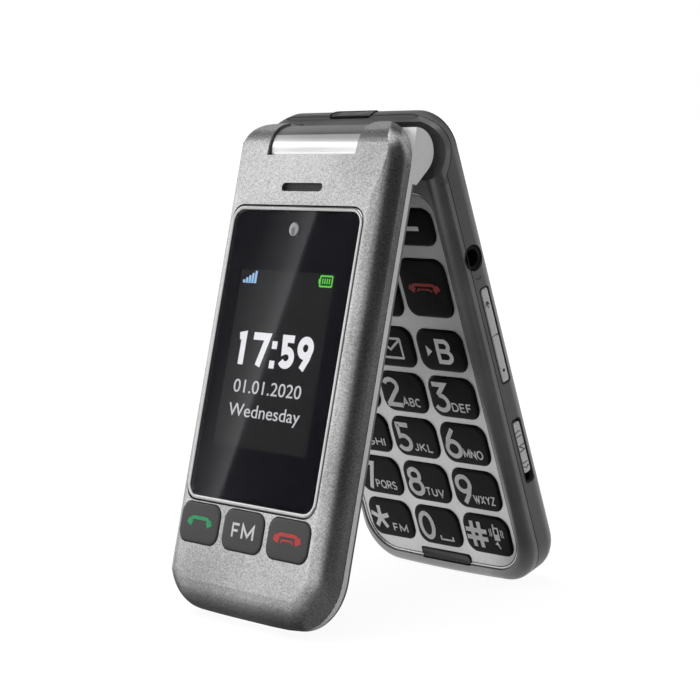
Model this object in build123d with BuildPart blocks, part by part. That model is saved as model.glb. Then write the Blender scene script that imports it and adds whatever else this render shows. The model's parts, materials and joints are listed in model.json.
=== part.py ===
from build123d import *
from math import acos, atan2, cos, degrees, hypot, radians, sin
import os

os.makedirs("parts", exist_ok=True)

# A big-button flip phone, in millimetres, standing half open on the ends of its two halves.
#
# Each half is modelled lying flat, as when the phone is shut: X runs across the phone along the hinge,
# Y runs up the phone towards the hinge, Z points from the back of the base to the outer face of the lid,
# and the origin is on the hinge axis. Both halves are then turned about the hinge into the resting pose.

# ---------------------------------------------------------------- driving dimensions

# Posture
rest_opening = 32.5            # angle between the two halves as the phone stands, degrees

# Clearances
running_clearance = 0.05       # shaft in its bore
seat_clearance = 0.02          # between pieces that are pressed or glued together
fit_clearance = 0.1            # between pieces that are laid into each other
key_gap = 0.15                 # round each key and button
side_gap = 0.2                 # round the side controls
bay_gap = 0.6                  # round the battery, in its bay
battery_play = 0.3             # between the battery and its cover
cover_gap = 0.15               # round the battery cover
turning_gap = 0.3              # between the barrel and the lid's notch
ear_gap = 0.4                  # between the middle block and an ear, along the hinge

# Base: the lower half
base_width = 51.0
base_length = 99.5             # hinge axis to the bottom end
base_front = -1.8              # height of the front bezel
base_corner = 9.5              # corner radius at the bottom end
base_shoulder = 8.0            # corner radius at the hinge end
base_front_round = 2.6
base_back_round = 3.6
base_inner_round = 1.2         # inside, along the back edge
base_bow = 0.8                 # how far the bottom end bows out in its middle
base_wall = 1.3                # side wall
base_floor = 2.0               # back wall
base_parting = -5.5            # height of the line between the front and rear shells

# Lid: the upper half
lid_step = 1.2                 # how much further in its sides are than the base's
lid_setback = 1.9              # how much shorter it is than the base
lid_front = 7.2                # height of the outer face
lid_split = 1.0                # height of the line between outer shell and inner frame
lid_inner = -1.3               # height of the face that shuts on the base
lid_corner = 11.5
lid_shoulder = 9.0
lid_round = 4.5                # round along the edge of the outer face
lid_roll = 5.8                 # width of the half-oval along which the face rolls into each side
lid_foot_roll = 6.2            # length of the half-oval along which it rolls into the foot
lid_hollow_round = 3.8
lid_inner_round = 1.0
lid_bow = 1.0
lid_wall = 1.2
lid_slope_start = 13.0         # where the outer face starts to fall towards the hinge
lid_slope_round = 24.0         # radius of that bend

# Hinge
block_width = 26.0             # middle block of the base, which carries the barrel
barrel_radius = 5.5
crown_step = 0.1               # how far the end wall stands out past the barrel
ear_step = 0.5                 # how much larger the painted ears are than the barrel
knuckle_step = 1.2             # how much smaller the silver knuckles are than the ears
knuckle_cover = 4.5            # painted shell over the front of a knuckle's outer end
web_width = 0.6                # foot of the web from a knuckle to the tray of the frame
recess_gap = 1.0               # between an ear and the hollow of the base that it turns in
arch_margin = 1.6              # from that hollow to the parting line round it
notch_foot = 2.0               # hinge axis to the lower edge of the notch
flare_angle = -48.0            # where the end wall leaves the barrel, degrees
flare_end = -7.6               # height at which the end wall is upright
trim_angle = 30.0              # where the bright trim starts on the barrel, degrees
trim_sweep = 140.0
trim_thickness = 0.8
cam_radius = 3.4
cam_length = 9.5
shaft_radius = 1.5
shaft_key = 1.7                # corner radius of the shaft's six-sided end
shaft_key_length = 6.0
pin_radius = 2.2
pin_bore = 1.4
pin_grip = 6.0                 # length of pin held in the block

# Window, camera and slot of the lid
window_side = 5.3              # from the lid's side to the glass
window_top = 13.9              # hinge axis to the glass
window_corner = 2.5
glass_thickness = 0.9
rim_width = 1.1
rim_proud = 0.15
rim_ledge = 0.8
rim_foot = 0.5                 # how far the rim reaches in under the shell's ceiling
camera_drop = 3.8              # from the top of the glass to the lens
lens_radius = 1.5
slot_place = 8.9
slot_length = 12.3
slot_width = 1.8
mesh_margin = 0.6
mesh_thickness = 0.5
display_side = 2.0             # dark borders of the glass round the display
display_head = 10.1
display_foot = 8.1
display_thickness = 1.8

# Buttons of the lid, in a row under the window
lid_button_side = 4.45         # from the lid's side to the row
lid_button_space = 1.4         # between two of them
lid_button_height = 8.3
lid_button_corner = 2.4
lid_button_drop = 0.45         # from the rim to the row
lid_button_foot = 13.65        # from the row to the lid's bottom end
lid_button_proud = 0.35
lid_button_travel = 0.3
lid_button_sink = 0.2          # between the shell's ceiling and the flanges under it
lid_button_flange = 0.5

# Inner face of the lid
inner_window_side = 3.8
inner_window_top = 17.0
inner_window_foot = 21.6
inner_window_thickness = 0.8
inner_display_thickness = 2.3
inner_floor = 1.1
earpiece_place = 10.6
earpiece_slot = 9.0
earpiece_slot_width = 1.4

# Keypad
bezel_width = 2.4              # beside the panel
bezel_foot = 3.3               # below it
panel_top = 9.4
panel_corner_top = 5.5
panel_corner_bottom = 8.0
panel_drop = 0.55              # how far the panel lies under the bezel
panel_thickness = 0.8
ledge_side = 0.8               # ledges of the front shell that the panel lies on
ledge_top = 2.2
ledge_foot = 2.9
key_proud = 0.5                # how far the keys stand over the panel
key_side = 1.75                # from the panel's sides to the outer columns
key_foot = 3.79                # from the last row to the panel's bottom end
column_space = 1.55
row_space = 1.49
key_corner = 2.8
key_flange = 0.5
key_flange_thickness = 0.5
key_travel = 0.35
soft_key_top = 13.0            # hinge axis to the upper keys
soft_key_height = 8.1
call_key_height = 12.9
key_group_space = 2.97         # between soft keys, call keys and rows
nav_key_inset = 0.5            # the middle key ends this much above the call keys
strip_length = 15.2
strip_width = 2.6
strip_foot = 1.1               # panel's bottom end to the middle of the strip
strip_depth = 1.6

# Inside the base
mat_thickness = 0.4
mat_margin = 0.9
board_thickness = 0.9
board_side = 4.5
board_end_top = 14.0
board_foot = 8.5
bay_roof_gap = 0.3             # between the board and the bay's roof
bay_wall = 0.9
bay_roof = 0.7
battery_headroom = 0.2
battery_side = 7.5
battery_top = 40.0
battery_foot = 13.0
battery_thickness = 4.1
cover_side = 4.3
cover_top = 35.0
cover_foot = 8.5
cover_corner = 5.0
cover_thickness = 1.0
notch_length = 9.0             # fingernail notch of the cover
notch_width = 2.2
notch_depth = 0.5

# Sides of the base
side_band = -7.9               # height of the middle of the side controls
side_flange = 0.6              # thickness of the lips behind the side controls
side_lip = 0.35
side_play = 0.5                # between the lips and the wall, for the volume button to tip
jack_place = 25.4
jack_bore = 1.8
jack_wall = 0.85               # of the collar round the bore
jack_recess = 0.5              # how far the collar lies under the side
jack_depth = 11.7
jack_headroom = 0.2            # between the socket and the key mat
jack_body_length = 12.6
jack_body_wall = 0.6           # over and under the bore
jack_body_side = 1.3           # beside the bore
rocker_top = 32.3
rocker_bottom = 53.3
rocker_height = 2.3
pivot_radius = 0.5             # of the ridge that the volume button tips about
slider_slot_top = 62.0
slider_slot_bottom = 76.2
slider_start = 0.5             # from the top of the slot to the slider
slider_length = 11.7
slider_height = 2.3
usb_place = 30.0
usb_level = -7.2
usb_width = 7.4
usb_height = 2.6
usb_depth = 5.4
usb_wall = 0.35
torch_width = 12.0
torch_height = 2.4
torch_middle = -8.1
torch_depth = 1.4

speaker_place = (-12.0, -20.5)
speaker_size = (16.0, 12.0)
motor_place = -33.4
motor_radius = 2.0

# Fixings
screw_head_radius = 1.3
screw_head = 0.7
screw_shank_radius = 0.6
screw_shank = 3.2
base_screw_shank = 4.2
base_screw_depth = 0.4         # how far the heads of the base's screws lie under its back
boss_radius = 1.5
bumper_radius = 2.0
bumper_thickness = 0.7
bumper_proud = 0.3

# ---------------------------------------------------------------- sizes that follow

beyond = 40.0                  # well past any surface that a cut has to clear

base_half = base_width / 2
side_inside = base_half - base_wall
lid_width = base_width - 2 * lid_step
lid_length = base_length - lid_setback
lid_half = lid_width / 2
block_half = block_width / 2
notch_half = block_half + ear_gap

base_crown = barrel_radius + crown_step
ear_radius = barrel_radius + ear_step
knuckle_radius = ear_radius - knuckle_step
knuckle_reach = lid_half - knuckle_cover
recess_radius = ear_radius + recess_gap
arch_radius = recess_radius + arch_margin

# The stack of the base, from the bezel down to the back
panel_face = base_front - panel_drop
panel_back = panel_face - panel_thickness
key_face = panel_face + key_proud
flange_face = panel_back - fit_clearance
flange_back = flange_face - key_flange_thickness
well_floor = panel_back - fit_clearance - 0.75
mat_top = flange_back - key_travel - fit_clearance
board_top = mat_top - mat_thickness - fit_clearance
board_back = board_top - board_thickness
bay_top = board_back - bay_roof_gap
bay_ceiling = bay_top - bay_roof
battery_face = bay_ceiling - battery_headroom
battery_back = battery_face - battery_thickness
cover_face = battery_back - battery_play
base_back = cover_face - cover_thickness
floor_face = base_back + base_floor

# The stack of the lid, from the outer face down
glass_back = lid_front - glass_thickness
lid_ceiling = lid_front - lid_wall
lid_board_top = lid_ceiling - 2.2
lid_board_thickness = 0.8
lid_board_start = window_top + 2
lid_board_bottom = lid_length - 10.7
dome_height = 0.15
button_ledge = lid_ceiling - lid_button_sink
inner_deck = lid_inner + inner_floor

window_width = lid_width - 2 * window_side
lid_button_top = lid_length - lid_button_foot - lid_button_height
window_bottom = lid_button_top - lid_button_drop - rim_width
window_height = window_bottom - window_top
window_middle = -(window_top + window_bottom) / 2
rim_outer = (window_width + 2 * rim_width, window_height + 2 * rim_width)
camera_place = window_top + camera_drop
mesh_length = slot_length + 2 * mesh_margin
mesh_width = slot_width + 2 * mesh_margin
display_width = window_width - 2 * display_side
display_height = window_height - display_head - display_foot
display_middle = -(window_top + display_head + display_height / 2)
lid_button_width = (lid_width - 2 * lid_button_side - 2 * lid_button_space) / 3
lid_button_pitch = lid_button_width + lid_button_space
lid_button_place = lid_button_top + lid_button_height / 2
inner_window_width = lid_width - 2 * inner_window_side
inner_window_height = lid_length - inner_window_foot - inner_window_top
inner_window_middle = -(inner_window_top + inner_window_height / 2)
lid_screw_seat = lid_inner + bumper_thickness - bumper_proud
lid_screw_places = [(side * (lid_half - 5.3), 7.6 - lid_length) for side in (1, -1)]
lid_screw_places += [(side * (lid_half - 4.3), -11.2) for side in (1, -1)]

panel_width = base_width - 2 * bezel_width
panel_bottom = base_length - bezel_foot
well_top = panel_top + ledge_top
well_bottom = panel_bottom - ledge_foot
well_middle = -(well_top + well_bottom) / 2
call_key_top = soft_key_top + soft_key_height + key_group_space
row_top = call_key_top + call_key_height + key_group_space
key_width = (panel_width - 2 * key_side - 2 * column_space) / 3
key_height = (panel_bottom - key_foot - row_top - 4 * row_space) / 5
column_pitch = key_width + column_space
row_pitch = key_height + row_space
nav_key_bottom = call_key_top + call_key_height + nav_key_inset
strip_place = panel_bottom - strip_foot
mat_end_top = well_top + mat_margin
mat_end_bottom = well_bottom - mat_margin

board_width = base_width - 2 * board_side
board_end_bottom = base_length - board_foot
battery_width = base_width - 2 * battery_side
battery_bottom = base_length - battery_foot
battery_middle = -(battery_top + battery_bottom) / 2
cover_width = base_width - 2 * cover_side
cover_bottom = base_length - cover_foot
cover_middle = -(cover_top + cover_bottom) / 2
base_screw_seat = base_back + base_screw_depth
base_screw_places = [(side * (base_half - 10.0), 5.3 - base_length) for side in (1, -1)]
base_screw_places += [(side * (base_half - 5.5), -11.0) for side in (1, -1)]

rocker_middle = -(rocker_top + rocker_bottom) / 2
rocker_slot = (rocker_bottom - rocker_top + 2 * side_gap, rocker_height + 2 * side_gap)
slider_slot = (slider_slot_bottom - slider_slot_top, slider_height + 2 * side_gap)
slider_slot_middle = -(slider_slot_top + slider_slot_bottom) / 2
slider_middle = -(slider_slot_top + slider_start + slider_length / 2)
side_seat = side_inside - side_play    # outer face of the lips behind the side controls
side_depth = base_half - side_seat
jack_collar = jack_bore + jack_wall
jack_face = base_half - jack_recess
jack_shoulder = side_inside - 1.2
jack_body_height = 2 * (jack_bore + jack_body_wall)
jack_body_width = 2 * (jack_bore + jack_body_side)
jack_height = mat_top - mat_thickness - jack_headroom - jack_body_height / 2
torch_back = base_crown - torch_depth

# The phone stands on the rounded lower edges of the base's front and of the lid's inner face.
# Its two feet are level when both arcs have the same lowest height.
base_foot = (-(base_length - base_front_round), base_front - base_front_round)
lid_foot = (-(lid_length - lid_inner_round), lid_inner + lid_inner_round)
opening = radians(rest_opening)
level_cos = lid_foot[0] * cos(opening) + lid_foot[1] * sin(opening) - base_foot[0]
level_sin = lid_foot[0] * sin(opening) - lid_foot[1] * cos(opening) + base_foot[1]
level_offset = (lid_inner_round - base_front_round) / hypot(level_cos, level_sin)
base_tilt = degrees(atan2(level_sin, level_cos) + acos(level_offset))
lid_tilt = rest_opening - base_tilt

base_pose = Location((0, 0, 0), (90 + base_tilt, 0, 0))
lid_pose = Location((0, 0, 0), (90 - lid_tilt, 0, 0))

finished = []


# ---------------------------------------------------------------- helpers


def stand(piece, name, pose):
    """Turn a finished piece about the hinge into the resting pose and keep it under its name."""
    piece.part = piece.part.moved(pose)
    piece.part.label = name
    finished.append(piece.part)


def plate(width, length, corner, low, high, at=(0, 0), mode=Mode.ADD):
    """A flat plate with rounded corners between two heights."""
    with BuildSketch(Plane.XY.offset(low)) as outline:
        with Locations(at):
            RectangleRounded(width, length, corner)
    extrude(outline.sketch, amount=high - low, mode=mode)


def drum(radius, low, high, places, mode=Mode.ADD):
    """Upright round posts or holes between two heights."""
    with BuildSketch(Plane.XY.offset(low)) as outline:
        with Locations(*places):
            Circle(radius)
    extrude(outline.sketch, amount=high - low, mode=mode)


def rod(radius, start, end, y=0, z=0, mode=Mode.ADD):
    """A round bar or bore along X."""
    with BuildSketch(Plane.YZ.offset(start)) as outline:
        with Locations((y, z)):
            Circle(radius)
    extrude(outline.sketch, amount=end - start, mode=mode)


def slot(length, width, low, high, at, mode=Mode.ADD):
    """A round-ended slot or strip along X between two heights."""
    with BuildSketch(Plane.XY.offset(low)) as outline:
        with Locations(at):
            SlotOverall(length, width)
    extrude(outline.sketch, amount=high - low, mode=mode)


def bar(x, y, z, mode=Mode.ADD):
    """A square-edged block from three (low, high) pairs."""
    with BuildSketch(Plane.XY.offset(z[0])) as outline:
        with Locations(((x[0] + x[1]) / 2, (y[0] + y[1]) / 2)):
            Rectangle(x[1] - x[0], y[1] - y[0])
    extrude(outline.sketch, amount=z[1] - z[0], mode=mode)


def half_outline(low, side, top, foot, shoulder, corner, bow):
    """Front view of one half: straight sides, rounded corners and a bottom end that bows out."""
    with BuildSketch(Plane.XY.offset(low)) as outline:
        with BuildLine():
            Polyline((side, bow - foot), (side, top), (-side, top), (-side, bow - foot))
            ThreePointArc((-side, bow - foot), (0, -foot), (side, bow - foot))
        make_face()
        fillet(outline.vertices().group_by(Axis.Y)[0], corner)
        fillet(outline.vertices().group_by(Axis.Y)[-1], shoulder)
    return outline.sketch


def base_form(inset, low, high, top, shoulder, back_round):
    """The outer form of the base, or a smaller copy of it for its hollow."""
    foot = base_length - inset
    with BuildPart() as form:
        outline = half_outline(low, base_half - inset, top, foot, shoulder, base_corner - inset, base_bow)
        extrude(outline, amount=high - low)
        fillet(form.edges().group_by(Axis.Z)[-1], base_front_round - inset)
        fillet(form.edges().group_by(Axis.Z)[0], back_round)
    return form.part


def lid_form(inset, low, high, top, shoulder, edge_round):
    """The outer form of the lid's painted shell, or a smaller copy of it for its hollow."""
    foot = lid_length - inset
    with BuildPart() as form:
        outline = half_outline(low, lid_half - inset, top, foot, shoulder, lid_corner - inset, lid_bow)
        extrude(outline, amount=high - low)
        fillet(form.edges().group_by(Axis.Z)[-1], edge_round)
    return form.part


def polar(radius, angle):
    """Point of the side view at a radius and an angle in degrees about the hinge axis."""
    return (radius * cos(radians(angle)), radius * sin(radians(angle)))


# ---------------------------------------------------------------- lid: outer shell

lid_blank = lid_form(0, lid_split, lid_front, ear_radius, lid_shoulder, lid_round)
lid_hollow = lid_form(lid_wall, lid_split, lid_ceiling, -(ear_radius + 0.8), lid_hollow_round + 0.1,
                      lid_hollow_round)

with BuildPart() as lid_outer_shell:
    add(lid_blank)
    with BuildSketch(Plane.YZ) as lid_profile:
        Circle(ear_radius)
        with Locations((-lid_slope_start, lid_front - lid_slope_round)):
            Circle(lid_slope_round)
        make_hull()
        foot_centre = lid_foot_roll - lid_length
        with Locations(((foot_centre - lid_slope_start) / 2, 0)):
            Rectangle(-foot_centre - lid_slope_start, 2 * lid_front)
        with Locations((foot_centre, lid_split)):
            Ellipse(lid_foot_roll, lid_front - lid_split)
    extrude(lid_profile.sketch, amount=lid_half, both=True, mode=Mode.INTERSECT)
    with BuildSketch(Plane.XZ) as lid_section:
        with Locations((lid_roll - lid_half, lid_split), (lid_half - lid_roll, lid_split)):
            Ellipse(lid_roll, lid_front - lid_split)
        make_hull()
        with Locations((0, lid_split - beyond / 2)):
            Rectangle(lid_width, beyond)
    extrude(lid_section.sketch, amount=3 * beyond, both=True, mode=Mode.INTERSECT)
    add(lid_hollow, mode=Mode.SUBTRACT)
    rod(knuckle_radius + fit_clearance, -knuckle_reach - fit_clearance, knuckle_reach + fit_clearance,
        mode=Mode.SUBTRACT)
    rod(barrel_radius + turning_gap, -notch_half, notch_half, mode=Mode.SUBTRACT)
    bar((-notch_half, notch_half), (-notch_foot, beyond), (0, beyond), mode=Mode.SUBTRACT)
    drum(boss_radius, lid_split, lid_ceiling + 0.2, lid_screw_places)
    drum(screw_shank_radius + seat_clearance, lid_split, lid_ceiling - 1, lid_screw_places, Mode.SUBTRACT)
    plate(rim_outer[0] + 2 * fit_clearance, rim_outer[1] + 2 * fit_clearance, window_corner + rim_width,
          lid_split + 1, beyond, (0, window_middle), Mode.SUBTRACT)
    slot(slot_length, slot_width, lid_split, beyond, (0, -slot_place), Mode.SUBTRACT)
    slot(mesh_length + 2 * fit_clearance, mesh_width + 2 * fit_clearance, lid_split, lid_ceiling,
         (0, -slot_place), Mode.SUBTRACT)
    for side in (-1, 0, 1):
        plate(lid_button_width + 2 * key_gap, lid_button_height + 2 * key_gap, lid_button_corner + key_gap,
              lid_split, beyond, (side * lid_button_pitch, -lid_button_place), Mode.SUBTRACT)
stand(lid_outer_shell, "lid_outer_shell", lid_pose)

# ---------------------------------------------------------------- lid: inner frame

frame_outline = half_outline(lid_inner, lid_half, 0, lid_length, 1.0, lid_corner, lid_bow)
frame_hollow = half_outline(inner_deck, lid_half - lid_wall, -(ear_radius + 0.8), lid_length - lid_wall,
                            lid_hollow_round, lid_corner - lid_wall, lid_bow)

with BuildPart() as lid_inner_frame:
    extrude(frame_outline, amount=lid_split - lid_inner)
    fillet(lid_inner_frame.edges().group_by(Axis.Z)[0], lid_inner_round)
    extrude(frame_hollow, amount=beyond, mode=Mode.SUBTRACT)
    for low, high in ((-lid_half, -notch_half), (notch_half, lid_half)):
        rod(knuckle_radius, low, high)
        with BuildSketch(Plane.YZ.offset(low)) as web_profile:
            Circle(knuckle_radius)
            with Locations((-(recess_radius - web_width), lid_inner + web_width / 2)):
                Rectangle(web_width, web_width)
            make_hull()
            with Locations((0, lid_split + beyond / 2)):
                Rectangle(beyond, beyond, mode=Mode.SUBTRACT)
            Circle(knuckle_radius)
        extrude(web_profile.sketch, amount=high - low)
    for low, high in ((-beyond, -knuckle_reach), (knuckle_reach, beyond)):
        bar((low, high), (-beyond, beyond), (lid_split, beyond), Mode.SUBTRACT)
    rod(barrel_radius + turning_gap, -notch_half, notch_half, mode=Mode.SUBTRACT)
    bar((-notch_half, notch_half), (-barrel_radius, beyond), (-beyond, beyond), mode=Mode.SUBTRACT)
    drum(boss_radius + 1.0, inner_deck, lid_split, lid_screw_places)
    drum(screw_shank_radius + fit_clearance, lid_inner, lid_split, lid_screw_places, Mode.SUBTRACT)
    drum(screw_head_radius + fit_clearance, lid_inner, lid_screw_seat + screw_head, lid_screw_places,
         Mode.SUBTRACT)
    drum(bumper_radius + seat_clearance, lid_inner, lid_screw_seat, lid_screw_places, Mode.SUBTRACT)
    plate(inner_window_width + 2 * seat_clearance, inner_window_height + 2 * seat_clearance, 1.5,
          lid_inner, lid_split, (0, inner_window_middle), Mode.SUBTRACT)
    slot(earpiece_slot, earpiece_slot_width, lid_inner, inner_deck, (0, -earpiece_place), Mode.SUBTRACT)
    with BuildSketch(Plane.YZ.offset(notch_half)) as shaft_socket:
        RegularPolygon(shaft_key + seat_clearance, 6)
    extrude(shaft_socket.sketch, amount=shaft_key_length, mode=Mode.SUBTRACT)
    rod(pin_radius + running_clearance, -notch_half - pin_grip, -notch_half, mode=Mode.SUBTRACT)
stand(lid_inner_frame, "lid_inner_frame", lid_pose)

# ---------------------------------------------------------------- lid: window, camera and mesh

with BuildPart() as window_rim:
    plate(rim_outer[0], rim_outer[1], window_corner + rim_width, lid_ceiling - rim_foot,
          lid_front + rim_proud, (0, window_middle))
    plate(window_width + 2 * seat_clearance, window_height + 2 * seat_clearance, window_corner,
          glass_back - seat_clearance, beyond, (0, window_middle), Mode.SUBTRACT)
    plate(window_width - 2 * rim_ledge, window_height - 2 * rim_ledge, window_corner - rim_ledge,
          lid_split, beyond, (0, window_middle), Mode.SUBTRACT)
stand(window_rim, "window_rim", lid_pose)

with BuildPart() as outer_window:
    plate(window_width, window_height, window_corner, glass_back, lid_front, (0, window_middle))
    drum(lens_radius + seat_clearance, glass_back, lid_front, [(0, -camera_place)], Mode.SUBTRACT)
stand(outer_window, "outer_window", lid_pose)

with BuildPart() as camera_lens:
    drum(lens_radius, lid_ceiling, lid_front - 0.05, [(0, -camera_place)])
    drum(lens_radius - 0.9, lid_front - 0.35, lid_front, [(0, -camera_place)], Mode.SUBTRACT)
stand(camera_lens, "camera_lens", lid_pose)

with BuildPart() as camera_module:
    plate(8.0, 8.0, 0.8, lid_board_top + 0.05, lid_ceiling - 0.6, (0, -camera_place))
    drum(2.6, lid_ceiling - 0.6, lid_ceiling - 0.05, [(0, -camera_place)])
stand(camera_module, "camera_module", lid_pose)

with BuildPart() as ringer_mesh:
    slot(mesh_length, mesh_width, lid_ceiling - mesh_thickness, lid_ceiling - seat_clearance,
         (0, -slot_place))
stand(ringer_mesh, "ringer_mesh", lid_pose)

with BuildPart() as outer_display:
    plate(display_width, display_height, 0.6, glass_back - display_thickness - fit_clearance,
          glass_back - fit_clearance, (0, display_middle))
stand(outer_display, "outer_display", lid_pose)

# ---------------------------------------------------------------- lid: inside and inner face

with BuildPart() as lid_board:
    plate(lid_width - 2 * lid_wall - 2.4, lid_board_bottom - lid_board_start, 2.0,
          lid_board_top - lid_board_thickness, lid_board_top, (0, -(lid_board_start + lid_board_bottom) / 2))
    # the domes under the three buttons
    drum(2.2, lid_board_top, lid_board_top + dome_height,
         [(side * lid_button_pitch, -lid_button_place) for side in (-1, 0, 1)])
stand(lid_board, "lid_board", lid_pose)

with BuildPart() as inner_window:
    plate(inner_window_width, inner_window_height, 1.5, lid_inner + 0.05,
          lid_inner + inner_window_thickness, (0, inner_window_middle))
stand(inner_window, "inner_window", lid_pose)

with BuildPart() as inner_display:
    plate(inner_window_width + 1.6, inner_window_height + 1.6, 1.0, inner_deck + seat_clearance,
          inner_deck + inner_display_thickness, (0, inner_window_middle))
stand(inner_display, "inner_display", lid_pose)

with BuildPart() as earpiece:
    plate(12.0, 5.4, 1.2, inner_deck + seat_clearance, inner_deck + 2.2, (0, -earpiece_place))
stand(earpiece, "earpiece", lid_pose)

with BuildPart() as lid_screws:
    drum(screw_head_radius, lid_screw_seat, lid_screw_seat + screw_head, lid_screw_places)
    drum(screw_shank_radius, lid_screw_seat + screw_head, lid_screw_seat + screw_head + screw_shank,
         lid_screw_places)
stand(lid_screws, "lid_screws", lid_pose)

with BuildPart() as lid_bumpers:
    drum(bumper_radius, lid_inner - bumper_proud, lid_screw_seat, lid_screw_places)
    fillet(lid_bumpers.edges().group_by(Axis.Z)[0], 0.15)
stand(lid_bumpers, "lid_bumpers", lid_pose)

# ---------------------------------------------------------------- lid: buttons


def lid_button(name, x):
    """A button of the lid: a cap in the shell's opening, a flange under the shell and a plunger."""
    at = (x, -lid_button_place)
    with BuildPart() as button:
        plate(lid_button_width, lid_button_height, lid_button_corner, button_ledge,
              lid_front + lid_button_proud, at)
        fillet(button.edges().group_by(Axis.Z)[-1], 0.3)
        plate(lid_button_width + 1.0, lid_button_height, lid_button_corner,
              button_ledge - lid_button_flange, button_ledge, at)
        drum(1.5, lid_board_top + dome_height + lid_button_travel + fit_clearance, button_ledge, [at])
    stand(button, name, lid_pose)


lid_button("lid_send_button", -lid_button_pitch)
lid_button("lid_fm_button", 0)
lid_button("lid_end_button", lid_button_pitch)

# ---------------------------------------------------------------- base: the two shells

base_blank = base_form(0, base_back, base_front, base_crown, base_shoulder, base_back_round)
base_hollow = base_form(base_wall, floor_face, well_floor, -(arch_radius + 1.2), 3.0, base_inner_round)
flare_start = polar(barrel_radius, flare_angle)

with BuildPart() as carcass:
    add(base_blank)
    with BuildSketch(Plane.YZ) as end_clearing:
        Polygon((0, 0), flare_start, (base_crown, flare_end), (beyond, flare_end), (beyond, beyond),
                (0, beyond), align=None)
    extrude(end_clearing.sketch, amount=beyond, both=True, mode=Mode.SUBTRACT)
    rod(recess_radius, block_half, beyond, mode=Mode.SUBTRACT)
    rod(recess_radius, -beyond, -block_half, mode=Mode.SUBTRACT)
    rod(barrel_radius, -block_half, block_half)
    add(base_hollow, mode=Mode.SUBTRACT)
    rod(jack_collar + fit_clearance, side_inside - 3, beyond, -jack_place, jack_height, Mode.SUBTRACT)
    bar((jack_shoulder - jack_body_length - seat_clearance, jack_shoulder + seat_clearance),
        (-jack_place - jack_body_width / 2, -jack_place + jack_body_width / 2),
        (jack_height - jack_body_height / 2 - seat_clearance, jack_height), Mode.SUBTRACT)
    with BuildSketch(Plane.XZ.offset(-beyond)) as torch_hole:
        with Locations((0, torch_middle)):
            RectangleRounded(torch_width + 2 * seat_clearance, torch_height + 2 * seat_clearance, 0.8)
    extrude(torch_hole.sketch, amount=beyond - torch_back + 1.8, mode=Mode.SUBTRACT)

with BuildPart() as front_region:
    bar((-beyond, beyond), (-3 * beyond, -arch_radius), (base_parting, beyond))
    bar((-beyond, beyond), (-3 * beyond, beyond), (base_front - 1.5, beyond))
    rod(arch_radius, -beyond, beyond)


def panel_sketch(low, margin):
    """Outline of the keypad panel, or of the recess it lies in."""
    side = panel_width / 2 + margin
    return half_outline(low, side, -panel_top + margin, panel_bottom + margin, panel_corner_top,
                        panel_corner_bottom, base_bow / 2)


def side_plate(size, corner, y, start, amount, mode=Mode.ADD):
    """A rounded bar or slot of the right-hand side, from an x position outwards."""
    with BuildSketch(Plane.YZ.offset(start)) as outline:
        with Locations((y, side_band)):
            RectangleRounded(size[0], size[1], corner)
    extrude(outline.sketch, amount=amount, mode=mode)


with BuildPart() as base_front_shell:
    add(carcass.part)
    add(front_region.part, mode=Mode.INTERSECT)
    extrude(panel_sketch(panel_back - seat_clearance, seat_clearance), amount=beyond, mode=Mode.SUBTRACT)
    drum(boss_radius, floor_face + base_floor / 2 + 0.2, well_floor + 0.2, base_screw_places)
    plate(panel_width - 2 * ledge_side, well_bottom - well_top, panel_corner_top - ledge_side,
          well_floor - 1, beyond, (0, well_middle), Mode.SUBTRACT)
    plate(strip_length + 2 * seat_clearance, strip_width + 2 * seat_clearance, 0.8,
          base_front - strip_depth - seat_clearance, beyond, (0, -strip_place), Mode.SUBTRACT)
    drum(screw_shank_radius + seat_clearance, floor_face, well_floor - 0.6, base_screw_places,
         Mode.SUBTRACT)
    with BuildSketch(Plane.YZ.offset(-block_half)) as trim_seat:
        with BuildLine():
            CenterArc((0, 0), barrel_radius + 1, trim_angle, trim_sweep)
            CenterArc((0, 0), barrel_radius - trim_thickness - seat_clearance, trim_angle, trim_sweep)
            for turn in (trim_angle, trim_angle + trim_sweep):
                Line(polar(barrel_radius - trim_thickness - seat_clearance, turn),
                     polar(barrel_radius + 1, turn))
        make_face()
    extrude(trim_seat.sketch, amount=block_width, mode=Mode.SUBTRACT)
    rod(cam_radius + seat_clearance, block_half - cam_length, block_half, mode=Mode.SUBTRACT)
    rod(pin_radius + seat_clearance, -block_half, -block_half + pin_grip, mode=Mode.SUBTRACT)
stand(base_front_shell, "base_front_shell", base_pose)

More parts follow.
